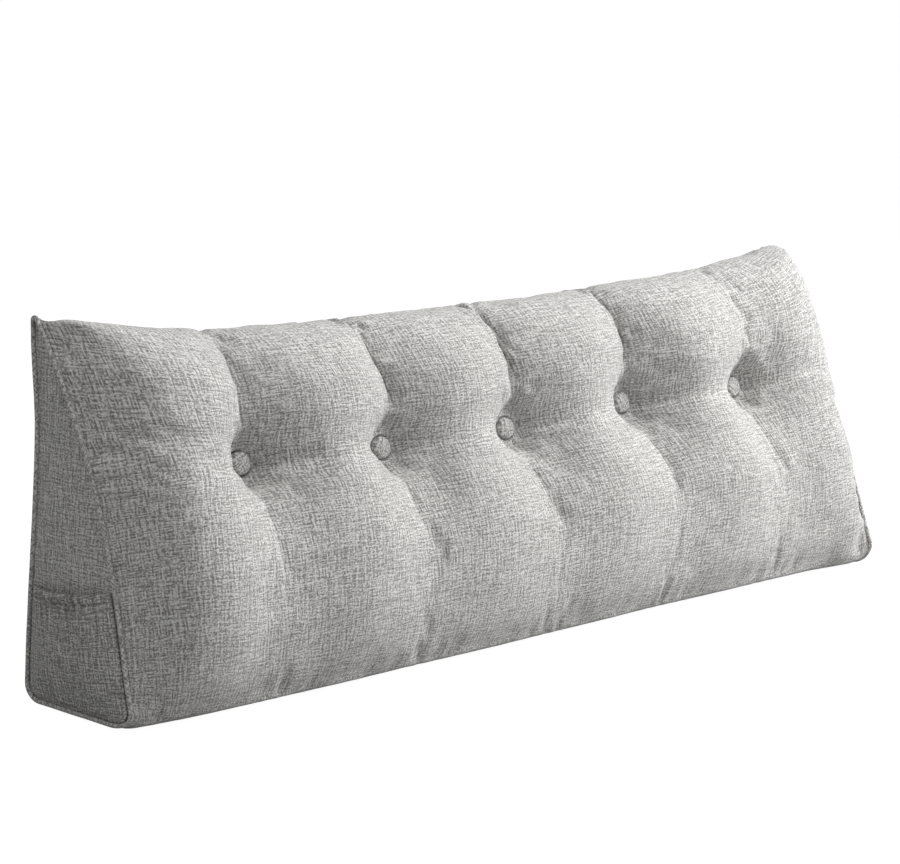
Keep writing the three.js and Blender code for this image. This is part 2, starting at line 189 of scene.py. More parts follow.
@dataclass(frozen=True)
class PillowForm:
    """The filled body's form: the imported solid's, with softer channels and an eased base seam.

    A pair of sizes is for the left and the right end. Columns are read at places up the face,
    from -1 at the foot over 0 at the buttons to 1 at the start of the top roll.
    """

    length: float = 1.5
    height: float = 0.5
    back_y: float = 0.092
    foot_stations: tuple[float, ...] = (-0.75, -0.5, -0.1, 0.25, 0.6, 0.75)
    foot_depths: tuple[float, ...] = (0.207, 0.215, 0.216, 0.211, 0.214, 0.236)
    foot_height: float = 0.015
    foot_height_end: tuple[float, float] = (0.022, 0.036)
    foot_reach: float = 0.06
    ear_radius: float = 0.003
    roll_radius: float = 0.05
    roll_reach: float = 0.11
    sag: tuple[float, float] = (0.041, 0.036)
    sag_reach: tuple[float, float] = (0.136, 0.145)
    sag_power: tuple[float, float] = (1.0, 1.4)
    sag_blend: float = 0.5
    right_ear_drop: float = 0.017
    right_ear_reach: float = 0.06
    back_swell: float = 0.01
    back_swell_reach: float = 0.06
    back_lean: float = 0.013
    back_lean_foot: float = 0.35
    back_pull: float = 0.9
    back_pull_middle: float = 0.7
    heel_radius: float = 0.023
    toe_run: float = 0.04
    base_lift: tuple[float, float] = (0.0075, 0.0048)
    base_lift_reach: float = 0.024
    base_lift_height: float = 0.06
    base_bulge: tuple[float, float] = (0.007, 0.012)
    edge_bulge: tuple[float, float] = (0.0, 0.003)
    right_bulge: float = 0.3
    bulge_peak: float = 0.009
    bulge_reach: float = 0.05
    seam_bow: tuple[float, float] = (0.033, 0.014)
    seam_bow_skew: float = 1.1
    seam_bow_fullness: float = 0.95
    seam_flank: float = 2.7
    row_height: float = 0.2985
    tufts: tuple[Tuft, ...] = (
        Tuft(-0.508, 0.004, -0.014, -0.004, -0.003, 0.12),
        Tuft(-0.253, -0.004, 0.0, 0.006, 0.012),
        Tuft(-0.005, -0.005, 0.012, 0.012, 0.01),
        Tuft(0.25, 0.004, 0.012, 0.033, 0.002),
        Tuft(0.512, 0.0, 0.027, 0.013, 0.006, 0.65),
    )
    seat_radius: float = 0.017
    seat_reach: float = 0.032
    lean_start: float = 0.7
    bow_middle: float = 0.45
    swerve_middle: float = 0.4
    roll_place_span: float = 1.76
    end_row_fill: float = 0.013
    end_row_width: float = 0.22
    end_row_fade: tuple[float, float] = (0.2, 0.9)
    panel_swell: float = 0.005
    panel_reach: float = 0.03
    places: tuple[float, ...] = (-1.0, -0.85, -0.65, -0.4, -0.18, 0.0, 0.18, 0.4, 0.65, 0.9, 1.2, 1.6)
    crests: tuple[float, ...] = (6, 40, 63, 75, 72, 67, 74, 80, 78, 62, 26, 3)
    floors: tuple[float, ...] = (4, 29, 47, 53, 33, 6, 11, 18, 20, 12, 3, 1)
    left_flanks: tuple[float, ...] = (2.3, 2.2, 2.1, 2.2, 2.4, 2.3, 2.3, 2.3, 2.1, 2.1, 2.8, 4.0)
    right_flanks: tuple[float, ...] = (2.1, 2.2, 2.4, 2.8, 3.2, 2.9, 2.6, 2.6, 2.8, 3.0, 2.8, 2.3)
    softs: tuple[float, ...] = (1.0, 0.95, 0.85, 0.68, 0.55, 0.62, 0.6, 0.38, 0.22, 0.2, 0.2, 0.25)
    upper_fullness: tuple[float, ...] = (1.06, 0.86, 0.74, 0.72, 0.97, 0.82)
    lower_fullness: tuple[float, ...] = (1.28, 1.15, 0.94, 0.94, 0.92, 0.74)
    fullness_blend: float = 0.3
    calm_fill: float = 0.74
    calm_rise: tuple[float, float] = (0.05, 0.45)

    @property
    def half(self) -> float:
        """Half of the pillow's length."""
        return self.length / 2

    @property
    def borders(self) -> tuple[Tuft, ...]:
        """The puffs' borders: the left seam, the five channels and the right seam."""
        ends = [Tuft(side * self.half, 0.0, 0.0, 0.0, 0.0) for side in (-1, 1)]
        return (ends[0], *self.tufts, ends[1])

    def table(self, values: Sequence[float]) -> SmoothTable:
        """Returns the smooth curve of one column of the face's form."""
        return SmoothTable(self.places, values)

    def border_column(self, key: str, puff: np.ndarray, across: np.ndarray) -> np.ndarray:
        """Carries a border's value smoothly across each puff.

        Args:
            key: the field of Tuft to carry.
            puff: the number of the puff at each station.
            across: how far across it each station lies, from 0 to 1.

        Returns:
            The value at each station.
        """
        values = np.array([getattr(border, key) for border in self.borders])
        return mix(values[puff], values[puff + 1], across)

    def outline(self, x: np.ndarray) -> Outline:
        """Works out the plain outline.

        Args:
            x: stations along the pillow.

        Returns:
            Its sizes, one row for each station.
        """
        x = np.asarray(x, float).reshape(-1, 1)
        edges = np.array([border.x for border in self.borders])
        puff = np.clip(np.searchsorted(edges, x, side="right") - 1, 0, len(edges) - 2)
        across = np.clip((x - edges[puff]) / (edges[puff + 1] - edges[puff]), 0.0, 1.0)
        from_end = np.maximum(self.half - np.abs(x), 0.0)
        right = x > 0
        near_end = np.exp(-from_end / self.roll_reach)
        right_sag = mix(self.sag[0], self.sag[1], smoothstep(x, 0.0, self.sag_blend))
        deep = np.where(right, right_sag, self.sag[0])
        reach = by_end(self.sag_reach, right)
        power = by_end(self.sag_power, right)
        sag = deep * (1.0 - np.exp(-((from_end / reach) ** power)))
        ear = np.where(right, self.right_ear_drop * np.exp(-from_end / self.right_ear_reach), 0.0)
        radius = mix(self.roll_radius, self.ear_radius, near_end)
        lean = self.back_lean * near_end
        foot_y = self.back_y - SmoothTable(self.foot_stations, self.foot_depths).at(x)
        foot_end = by_end(self.foot_height_end, right)
        foot_z = mix(self.foot_height, foot_end, np.exp(-from_end / self.foot_reach))
        roll_y = self.back_y - lean - radius
        roll_z = self.height - sag - ear - radius
        to_roll = np.hypot(roll_y - foot_y, roll_z - foot_z)
        slope = np.arctan2(roll_z - foot_z, roll_y - foot_y) + np.arcsin(radius / to_roll)
        face_length = np.sqrt(to_roll ** 2 - radius ** 2)
        row = self.row_height + self.border_column("rise", puff, across)
        near_seam = 1.0 - smoothstep(from_end, 0.0, self.base_lift_reach)
        return Outline(
            x=x,
            puff=puff,
            across=across,
            radius=radius,
            lean=lean,
            foot_y=foot_y,
            foot_z=foot_z,
            roll_y=roll_y,
            roll_z=roll_z,
            slope=slope,
            face_length=face_length,
            row_share=(row - foot_z) / (np.sin(slope) * face_length),
            bow=by_end(self.seam_bow, right) * near_end,
            back_swell=self.back_swell * (1.0 - np.exp(-from_end / self.back_swell_reach)),
            lift=by_end(self.base_lift, right) * near_seam,
            channel_lean=self.border_column("lean", puff, across),
            channel_bow=self.border_column("bow", puff, across),
            channel_swerve=self.border_column("swerve", puff, across),
        )

    def calm_at(self, border: np.ndarray, place: np.ndarray) -> np.ndarray:
        """How far the channel at each border is filled up over the button row."""
        calm = np.array([tuft.calm for tuft in self.borders])[border]
        return calm * smoothstep(place, *self.calm_rise)

    def channel_floor(self, border: np.ndarray, place: np.ndarray) -> np.ndarray:
        """How high the bottom of the channel at each border lies.

        Args:
            border: the border's number at each station.
            place: places up the face.

        Returns:
            The height at each station and place, which is 0 at the end seams.
        """
        beside = np.convolve(self.lower_fullness, (0.5, 0.5))
        upward = smoothstep(place, -self.fullness_blend, self.fullness_blend)
        floor = self.table(self.floors).at(place) * mix(beside[border], 1.0, upward)
        filled = self.calm_fill * self.table(self.crests).at(place)
        at_seam = (border == 0) | (border == len(self.borders) - 1)
        return np.where(at_seam, 0.0, mix(floor, filled, self.calm_at(border, place)) * MM)

    def puff_height(self, line: Outline, place: np.ndarray) -> np.ndarray:
        """How high the puffs stand over the plain face.

        Args:
            line: the plain outline.
            place: places up the face, -1 at the foot, 0 at the buttons, 1 where the roll starts.

        Returns:
            The height at each station and place.
        """
        last = len(self.borders) - 2
        signed = 2.0 * line.across - 1.0
        left_floor = self.channel_floor(line.puff, place)
        right_floor = self.channel_floor(line.puff + 1, place)
        channel = mix(left_floor, right_floor, smoothstep(line.across, 0.0, 1.0))
        at_seam = ((line.puff == 0) & (signed < 0)) | ((line.puff == last) & (signed > 0))
        towards_right = np.where(line.puff == last, line.across, 0.0)
        towards_end = np.where(line.puff == 0, 1.0 - line.across, towards_right)
        row_fill = self.end_row_fill * np.exp(-((place / self.end_row_width) ** 2))
        fade = smoothstep(towards_end, *self.end_row_fade)
        lower = np.array(self.lower_fullness)[line.puff]
        upper = np.array(self.upper_fullness)[line.puff]
        full = mix(lower, upper, smoothstep(place, -self.fullness_blend, self.fullness_blend))
        crest = self.table(self.crests).at(place) * MM * full + row_fill * fade
        left_flank = self.table(self.left_flanks).at(place)
        right_flank = self.table(self.right_flanks).at(place)
        flank = np.where(at_seam, self.seam_flank, np.where(signed < 0, left_flank, right_flank))
        calm = self.calm_at(line.puff + (signed > 0), place)
        soft = np.where(at_seam, 0.0, np.maximum(self.table(self.softs).at(place), calm))
        crisp = 1.0 - np.abs(signed) ** flank
        rounded = np.cos(math.pi * signed / 2.0) ** 2
        height = channel + (crest - channel) * mix(crisp, rounded, soft)
        return height * self.seat_factor(line, place)

    def face_share(self, line: Outline, place: np.ndarray) -> np.ndarray:
        """The share of each place between the foot (0) and the start of the roll (1)."""
        return np.where(place < 0, line.row_share * (1.0 + place), mix(line.row_share, 1.0, place))

    def seat_factor(self, line: Outline, place: np.ndarray) -> np.ndarray:
        """Zero on a button's flat seat and 1 away from it."""
        up_face = (self.face_share(line, place) - line.row_share) * line.face_length
        nearest = np.min([np.hypot(line.x - tuft.x, up_face) for tuft in self.tufts], axis=0)
        return smoothstep(nearest, self.seat_radius, self.seat_radius + self.seat_reach)

    @staticmethod
    def hump(place: np.ndarray, middle: float) -> np.ndarray:
        """A curve that rises from 0 at place 0 to 1 at middle and falls back to 0 at place 1."""
        return smoothstep(place, 0.0, middle) * (1.0 - smoothstep(place, middle, 1.0))

    def face_points(self, line: Outline, place: np.ndarray) -> np.ndarray:
        """Points of the leaning face at places from -1 to 1."""
        share = self.face_share(line, place)
        bow_shape = np.sin(math.pi * np.clip(share, 0.0, 1.0) ** self.seam_bow_skew)
        bow = line.bow * np.maximum(bow_shape, 0.0) ** self.seam_bow_fullness
        out = bow + self.puff_height(line, place)
        shift = line.channel_lean * smoothstep(-place, 0.0, self.lean_start)
        shift = shift + line.channel_bow * self.hump(-place, self.bow_middle)
        shift = shift + line.channel_swerve * self.hump(place, self.swerve_middle)
        along = share * line.face_length
        y = line.foot_y + np.cos(line.slope) * along - np.sin(line.slope) * out
        z = line.foot_z + np.sin(line.slope) * along + np.cos(line.slope) * out
        return as_points(line.x + shift, y, z)

    def roll_points(self, line: Outline, share: np.ndarray) -> np.ndarray:
        """Points over the rounded top, from the face (0) to the back (1)."""
        angle = (line.slope + math.pi / 2) * (1.0 - share)
        reach = line.radius + self.puff_height(line, 1.0 + share * self.roll_place_span)
        y = line.roll_y + reach * np.cos(angle)
        z = line.roll_z + reach * np.sin(angle)
        return as_points(line.x, y, z)

    def back_plane(self, line: Outline, z: Any) -> np.ndarray:
        """The y of the back at height z, which leans forward beside the ends."""
        return self.back_y - line.lean * mix(self.back_lean_foot, 1.0, z / self.height)

    def back_points(self, line: Outline, share: np.ndarray) -> np.ndarray:
        """Points down the upright back, from the roll (0) to the heel (1)."""
        z = mix(line.roll_z, self.heel_radius, share)
        pull = line.lean * self.back_pull * self.hump(1.0 - share, self.back_pull_middle)
        y = self.back_plane(line, z) - pull + line.back_swell * np.sin(math.pi * share)
        return as_points(line.x, y, z)

    def heel_points(self, line: Outline, share: np.ndarray) -> np.ndarray:
        """Points round the lower back corner."""
        angle = -share * math.pi / 2
        y = self.back_plane(line, self.heel_radius) - self.heel_radius * (1.0 - np.cos(angle))
        z = self.heel_radius + self.heel_radius * np.sin(angle)
        return as_points(line.x, y, z)

    def base_points(self, line: Outline, share: np.ndarray) -> np.ndarray:
        """Points along the flat base, from back to front."""
        y = mix(self.back_plane(line, self.heel_radius) - self.heel_radius, line.foot_y + self.toe_run, share)
        return as_points(line.x + line.channel_lean * share, y, 0.0 * y)

    def toe_points(self, line: Outline, share: np.ndarray) -> np.ndarray:
        """Points round the lower front corner."""
        angle = -math.pi / 2 * (1.0 + share)
        puff = self.puff_height(line, np.full_like(share, -1.0)) * np.sin(share * math.pi / 2)
        y = line.foot_y + self.toe_run + self.toe_run * np.cos(angle) - puff
        z = line.foot_z + line.foot_z * np.sin(angle)
        return as_points(line.x + line.channel_lean, y, z)

    def points(self, x: np.ndarray, rows: Sequence[tuple[Stretch, np.ndarray]]) -> np.ndarray:
        """Points of the skin.

        Args:
            x: stations along the pillow.
            rows: for each stretch of the outline, where its rows lie.

        Returns:
            An array of stations by rows by x, y, z.
        """
        line = self.outline(x)
        makers: dict[Stretch, Callable[[Outline, np.ndarray], np.ndarray]] = {
            Stretch.FACE: self.face_points,
            Stretch.ROLL: self.roll_points,
            Stretch.BACK: self.back_points,
            Stretch.HEEL: self.heel_points,
            Stretch.BASE: self.base_points,
            Stretch.TOE: self.toe_points,
        }
        grid = np.concatenate([makers[stretch](line, at[None, :]) for stretch, at in rows], axis=1)
        low = np.clip(1.0 - grid[..., 2] / self.base_lift_height, 0.0, 1.0)
        grid[..., 2] += line.lift * low
        from_end = self.half - np.abs(line.x)
        out = smoothstep(from_end, 0.0, self.bulge_peak)
        out = out * (1.0 - smoothstep(from_end, self.bulge_peak, self.bulge_reach))
        depth_share = np.clip((self.back_y - grid[..., 1]) / (self.back_y - line.foot_y), 0.0, 1.0)
        under = mix(*self.base_bulge, np.sin(math.pi * depth_share)) * low ** 3
        under = under * np.where(line.x < 0, 1.0, self.right_bulge)
        edge = by_end(self.edge_bulge, line.x >= 0)
        grid[..., 0] += np.sign(line.x) * out * np.maximum(under, edge)
        return grid

    def swell(self, seam: np.ndarray, spots: np.ndarray) -> np.ndarray:
        """How far an end panel swells past its seam.

        Args:
            seam: the seam's points, as y and z.
            spots: places on the panel, as y and z.

        Returns:
            The swell at each spot.
        """
        flat = spots.reshape(-1, 2)
        nearest = np.full(len(flat), np.inf)
        for start, end in zip(seam, np.roll(seam, -1, axis=0)):
            run = end - start
            share = np.clip((flat - start) @ run / max(run @ run, TINY), 0.0, 1.0)
            away = np.linalg.norm(flat - start - share[:, None] * run, axis=1)
            nearest = np.minimum(nearest, away)
        return (self.panel_swell * (1.0 - np.exp(-nearest / self.panel_reach))).reshape(spots.shape[:-1])


FORM = PillowForm()


@dataclass(frozen=True)
class SkinGrid:
    """Where the skin's rows and stations lie, close together beside channels, seams and buttons."""

    channel_step: float = 0.001
    channel_steps: int = 18
    growth: float = 1.17
    low_length: float = 0.3
    high_length: float = 0.155
    row_step: float = 0.00125
    row_steps: int = 19
    row_growth: float = 1.09
    least_last_step: float = 1.5
    low_step_limit: float = 0.0072
    high_step_limit: float = 0.0034
    roll_rows: int = 50
    back_rows: int = 15
    heel_rows: int = 6
    base_rows: int = 6
    toe_rows: int = 10

    def stations(self) -> np.ndarray:
        """Places along the pillow, from its left seam to its right one."""
        edges = [border.x for border in FORM.borders]
        places = [edges[0]]
        for start, end in zip(edges, edges[1:]):
            half = (end - start) / 2
            steps = [self.channel_step * i for i in range(self.channel_steps + 1)]
            step = self.channel_step * self.growth
            while steps[-1] + step < half:
                steps.append(steps[-1] + step)
                step *= self.growth
            steps[-1] = half
            places += [start + s for s in steps[1:]]
            places += [end - s for s in reversed(steps[:-1])]
        return np.array(places)

    def away_from_row(self, length: float, limit: float) -> np.ndarray:
        """Shares of a stretch of the face, close together beside the button row.

        Args:
            length: the stretch's length.
            limit: the longest step between two rows.

        Returns:
            The shares from 0 at the row to 1 at the stretch's end.
        """
        places = [self.row_step * i for i in range(self.row_steps + 1)]
        step = self.row_step
        while places[-1] + self.least_last_step * step < length:
            step = min(step * self.row_growth, limit)
            places.append(places[-1] + step)
        places[-1] = length
        return np.array(places) / length

    @property
    def low_shares(self) -> np.ndarray:
        """Shares of the face from the button row down to the foot."""
        return self.away_from_row(self.low_length, self.low_step_limit)

    @property
    def high_shares(self) -> np.ndarray:
        """Shares of the face from the button row up to the top roll."""
        return self.away_from_row(self.high_length, self.high_step_limit)

    @property
    def low_rows(self) -> int:
        """How many rows lie between the foot and the button row."""
        return len(self.low_shares) - 1

    @property
    def high_rows(self) -> int:
        """How many rows lie between the button row and the top roll."""
        return len(self.high_shares) - 1

    def rows(self) -> list[tuple[Stretch, np.ndarray]]:
        """The rows of each stretch of the outline."""
        low = -self.low_shares[:0:-1]
        high = self.high_shares[:-1]
        even = {
            Stretch.ROLL: self.roll_rows,
            Stretch.BACK: self.back_rows,
            Stretch.HEEL: self.heel_rows,
            Stretch.BASE: self.base_rows,
            Stretch.TOE: self.toe_rows,
        }
        rest = [(stretch, np.arange(count) / count) for stretch, count in even.items()]
        return [(Stretch.FACE, np.concatenate([low, high])), *rest]


class Waves:
    """Soft unevenness: a seeded sum of plane waves with an even mix of lengths and headings."""

    def __init__(self, seed: int, short: float, long: float, count: int = 18) -> None:
        """Draws the waves.

        Args:
            seed: the draw's number.
            short: the shortest wavelength.
            long: the longest wavelength.
            count: how many waves are summed.
        """
        draw = np.random.default_rng(seed)
        lengths = short * (long / short) ** draw.random(count)
        headings = draw.random(count) * 2 * math.pi
        self.spins = np.stack([np.cos(headings), np.sin(headings)], axis=1) * (2 * math.pi / lengths[:, None])
        self.starts = draw.random(count) * 2 * math.pi
        self.scale = math.sqrt(2.0 / count)

    def at(self, u: np.ndarray, v: np.ndarray) -> np.ndarray:
        """Reads the waves, which are mostly between -1 and 1."""
        total = np.zeros(np.broadcast(u, v).shape)
        for (ku, kv), start in zip(self.spins, self.starts):
            total += np.sin(ku * u + kv * v + start)
        return total * self.scale


@dataclass(frozen=True)
class Crease:
    """A line above one button that the cloth is drawn into.

    tuft is the button's number from 0, rises are heights over the button row in lengths of cloth,
    offsets are how far right of the button's station the line runs at each, depth is how deep it
    is, or less than nothing for a ridge, and width is its half-width.
    """

    tuft: int
    rises: tuple[float, ...]
    offsets: tuple[float, ...]
    depth: float
    width: float


@dataclass(frozen=True)
class ClothRelief:
    """The folds, tucks and puckers that lie on the cushion's form."""

    creases: tuple[Crease, ...] = (
        Crease(0, (0.08, 0.14, 0.19, 0.22), (0.0, 0.0, -0.003, -0.004), 0.0012, 0.0024),
        Crease(1, (0.06, 0.13, 0.165, 0.2, 0.23), (0.003, 0.001, -0.008, -0.007, 0.002), 0.008, 0.0038),
        Crease(
            2,
            (0.075, 0.11, 0.145, 0.166, 0.203, 0.235),
            (0.003, 0.003, 0.001, -0.011, -0.017, -0.021),
            0.0165,
            0.0054,
        ),
        Crease(2, (0.122, 0.135, 0.161, 0.192, 0.219), (0.015, 0.0125, 0.007, -0.001, -0.011), 0.006, 0.0026),
        Crease(
            3,
            (0.07, 0.12, 0.155, 0.184, 0.21, 0.235),
            (0.003, 0.003, 0.002, -0.004, -0.008, -0.014),
            0.0165,
            0.0052,
        ),
        Crease(3, (0.15, 0.165, 0.18, 0.196), (0.009, 0.006, 0.001, -0.004), -0.003, 0.0016),
    )
    crease_start: float = 0.03
    crease_end: float = 0.02
    crease_wall: float = 0.55
    crease_slope: float = 0.85
    crease_lip: float = 0.15
    crease_lip_away: float = 1.9
    row_fold_depth: float = 0.0045
    row_fold_start: tuple[float, float] = (0.012, 0.024)
    row_fold_reach: float = 0.105
    row_fold_bend: float = -0.006
    row_fold_below: float = 0.0045
    row_fold_above: float = 0.014
    row_fold_left: float = 0.3
    moat_depth: float = 0.0095
    moat_edge: tuple[float, float] = (0.0172, 0.019)
    lip_height: float = 0.0018
    lip_radius: float = 0.0215
    lip_width: float = 0.0045
    pucker_height: float = 0.0016
    pucker_count: int = 9
    pucker_turn: float = 1.7
    pucker_wander: float = 0.8
    pucker_start: float = 0.02
    pucker_rise: float = 0.008
    pucker_hold: float = 0.006
    pucker_reach: float = 0.03
    seam_pucker: float = 0.0011
    seam_pucker_start: float = 0.004
    seam_pucker_reach: float = 0.016
    seam_pucker_waves: tuple[float, float] = (0.012, 0.03)
    seam_pucker_slant: float = 0.2
    broad_height: float = 0.0005
    broad_waves: tuple[float, float] = (0.05, 0.16)
    fine_height: float = 0.00025
    fine_waves: tuple[float, float] = (0.018, 0.045)
    foot_wrinkle: float = 0.00018
    foot_wrinkle_x: tuple[float, float] = (0.6, 0.16)
    foot_wrinkle_rise: tuple[float, float] = (-0.27, 0.06)
    foot_wrinkle_slant: float = 0.9
    foot_wrinkle_length: float = 0.034
    base_fade: float = 0.02

    def height(self, x: np.ndarray, rise: np.ndarray) -> np.ndarray:
        """How far the relief stands out of the skin.

        Args:
            x: stations along the pillow, as a column.
            rise: how far up the face each row lies over the button row, as a row of cloth lengths.

        Returns:
            The height at each station and row.
        """
        broad = Waves(Seed.BROAD, *self.broad_waves).at(x, rise) * self.broad_height
        fine = Waves(Seed.FINE, *self.fine_waves).at(x, rise) * self.fine_height
        return broad + fine + self.channels(x, rise) + self.button_folds(x, rise) + self.seams(x, rise)

    def channels(self, x: np.ndarray, rise: np.ndarray) -> np.ndarray:
        """The creases above the buttons, each with a sharp wall and a low lip on its left."""
        total = np.zeros(np.broadcast(x, rise).shape)
        for crease in self.creases:
            first, last = crease.rises[0], crease.rises[-1]
            line = FORM.tufts[crease.tuft].x + SmoothTable(crease.rises, crease.offsets).at(rise)
            strength = smoothstep(rise, first, first + self.crease_start)
            strength = strength * (1.0 - smoothstep(rise, last, last + self.crease_end))
            wall = crease.width * np.where(x < line, self.crease_wall, self.crease_slope)
            lip = bump_at(x, line - self.crease_lip_away * crease.width, crease.width)
            total += crease.depth * strength * (self.crease_lip * lip - bump_at(x, line, wall))
        return total

    def button_folds(self, x: np.ndarray, rise: np.ndarray) -> np.ndarray:
        """The fold along the button row, each button's moat and lip, and the puckers round it."""
        total = np.zeros(np.broadcast(x, rise).shape)
        for number, tuft in enumerate(FORM.tufts):
            along = x - tuft.x
            side = np.where(along > 0, 1.0, self.row_fold_left)
            distance = np.abs(along)
            run = np.exp(-((distance / self.row_fold_reach) ** 2))
            run = run * smoothstep(distance, *self.row_fold_start)
            width = np.where(rise < self.row_fold_bend, self.row_fold_below, self.row_fold_above)
            total -= self.row_fold_depth * side * run * bump_at(rise, self.row_fold_bend, width)
            radius = np.hypot(along, rise)
            total -= self.moat_depth * (1.0 - smoothstep(radius, *self.moat_edge))
            total += self.lip_height * bump_at(radius, self.lip_radius, self.lip_width)
            angle = np.arctan2(rise, along)
            wander = self.pucker_wander * np.sin(2.0 * angle + number)
            lobes = np.sin(self.pucker_count * angle + self.pucker_turn * number + wander)
            band = smoothstep(radius, self.pucker_start, self.pucker_start + self.pucker_rise)
            past = np.maximum(radius - self.pucker_start - self.pucker_hold, 0.0)
            band = band * np.exp(-past / self.pucker_reach)
            total += self.pucker_height * lobes * band
        return total

    def seams(self, x: np.ndarray, rise: np.ndarray) -> np.ndarray:
        """The small puckers beside the corded end seams and the wrinkles at the right foot."""
        total = np.zeros(np.broadcast(x, rise).shape)
        for side, seed in ((-1.0, Seed.LEFT_SEAM), (1.0, Seed.RIGHT_SEAM)):
            inside = FORM.half - side * x
            pull = np.exp(-inside / self.seam_pucker_reach)
            pull = pull * smoothstep(inside, 0.0, self.seam_pucker_start)
            waves = Waves(seed, *self.seam_pucker_waves).at(self.seam_pucker_slant * x, rise)
            total += self.seam_pucker * pull * waves
        near_foot = bump_at(x, *self.foot_wrinkle_x) * bump_at(rise, *self.foot_wrinkle_rise)
        across = (self.foot_wrinkle_slant * x + rise) * 2 * math.pi / self.foot_wrinkle_length
        total += self.foot_wrinkle * near_foot * np.sin(across)
        return total


def new_mesh_object(
    name: str, points: np.ndarray, faces: Sequence[Sequence[int]], corners: Optional[np.ndarray] = None
) -> bpy.types.Object:
    """Makes a smooth mesh object at the origin.

    Args:
        name: the piece's name.
        points: its vertices.
        faces: each face's vertex numbers.
        corners: the weave map's u and v at each face corner.

    Returns:
        The object, linked to the scene.
    """
    mesh = bpy.data.meshes.new(name)
    whole_numbers = [list(map(int, face)) for face in faces]
    mesh.from_pydata(np.asarray(points, float).reshape(-1, 3).tolist(), [], whole_numbers)
    if corners is not None:
        layer = mesh.uv_layers.new(name=WEAVE_MAP)
        layer.data.foreach_set("uv", np.asarray(corners, np.float32).ravel())
    mesh.shade_smooth()
    mesh.update()
    piece = bpy.data.objects.new(name, mesh)
    bpy.context.scene.collection.objects.link(piece)
    return piece


def stand_for(piece: bpy.types.Object, node: str) -> None:
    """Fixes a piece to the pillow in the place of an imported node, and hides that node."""
    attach(piece, BODY)
    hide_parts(node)


def grid_normals(grid: np.ndarray) -> np.ndarray:
    """Unit outward normals of a grid of stations by rows whose rows close on themselves."""
    along = np.gradient(grid, axis=0)
    around = np.roll(grid, -1, axis=1) - np.roll(grid, 1, axis=1)
    normals = np.cross(along, around)
    return normals / np.maximum(np.linalg.norm(normals, axis=-1, keepdims=True), TINY)


def quads_between(low: np.ndarray, high: np.ndarray) -> np.ndarray:
    """Quads that join two closed rows of vertex numbers."""
    return np.stack([low, np.roll(low, -1), np.roll(high, -1), high], axis=1)


def glide(places: np.ndarray, values: np.ndarray, at: np.ndarray) -> np.ndarray:
    """Carries values smoothly between rising places.

    Args:
        places: the places that have values.
        values: the value at each place, which may be an array of its own.
        at: the places to read.

    Returns:
        The value at each place that is read.
    """
    slopes = np.gradient(values, places, axis=0)
    index = np.clip(np.searchsorted(places, at, side="right") - 1, 0, len(places) - 2)
    shape = (-1,) + (1,) * (values.ndim - 1)
    span = (places[index + 1] - places[index]).reshape(shape)
    t = np.clip((at - places[index]) / (places[index + 1] - places[index]), 0.0, 1.0).reshape(shape)
    square = t ** 2
    cubic = t ** 3
    low = (1.0 - 3.0 * square + 2.0 * cubic) * values[index]
    low = low + (t - 2.0 * square + cubic) * span * slopes[index]
    high = (3.0 * square - 2.0 * cubic) * values[index + 1]
    high = high + (cubic - square) * span * slopes[index + 1]
    return low + high


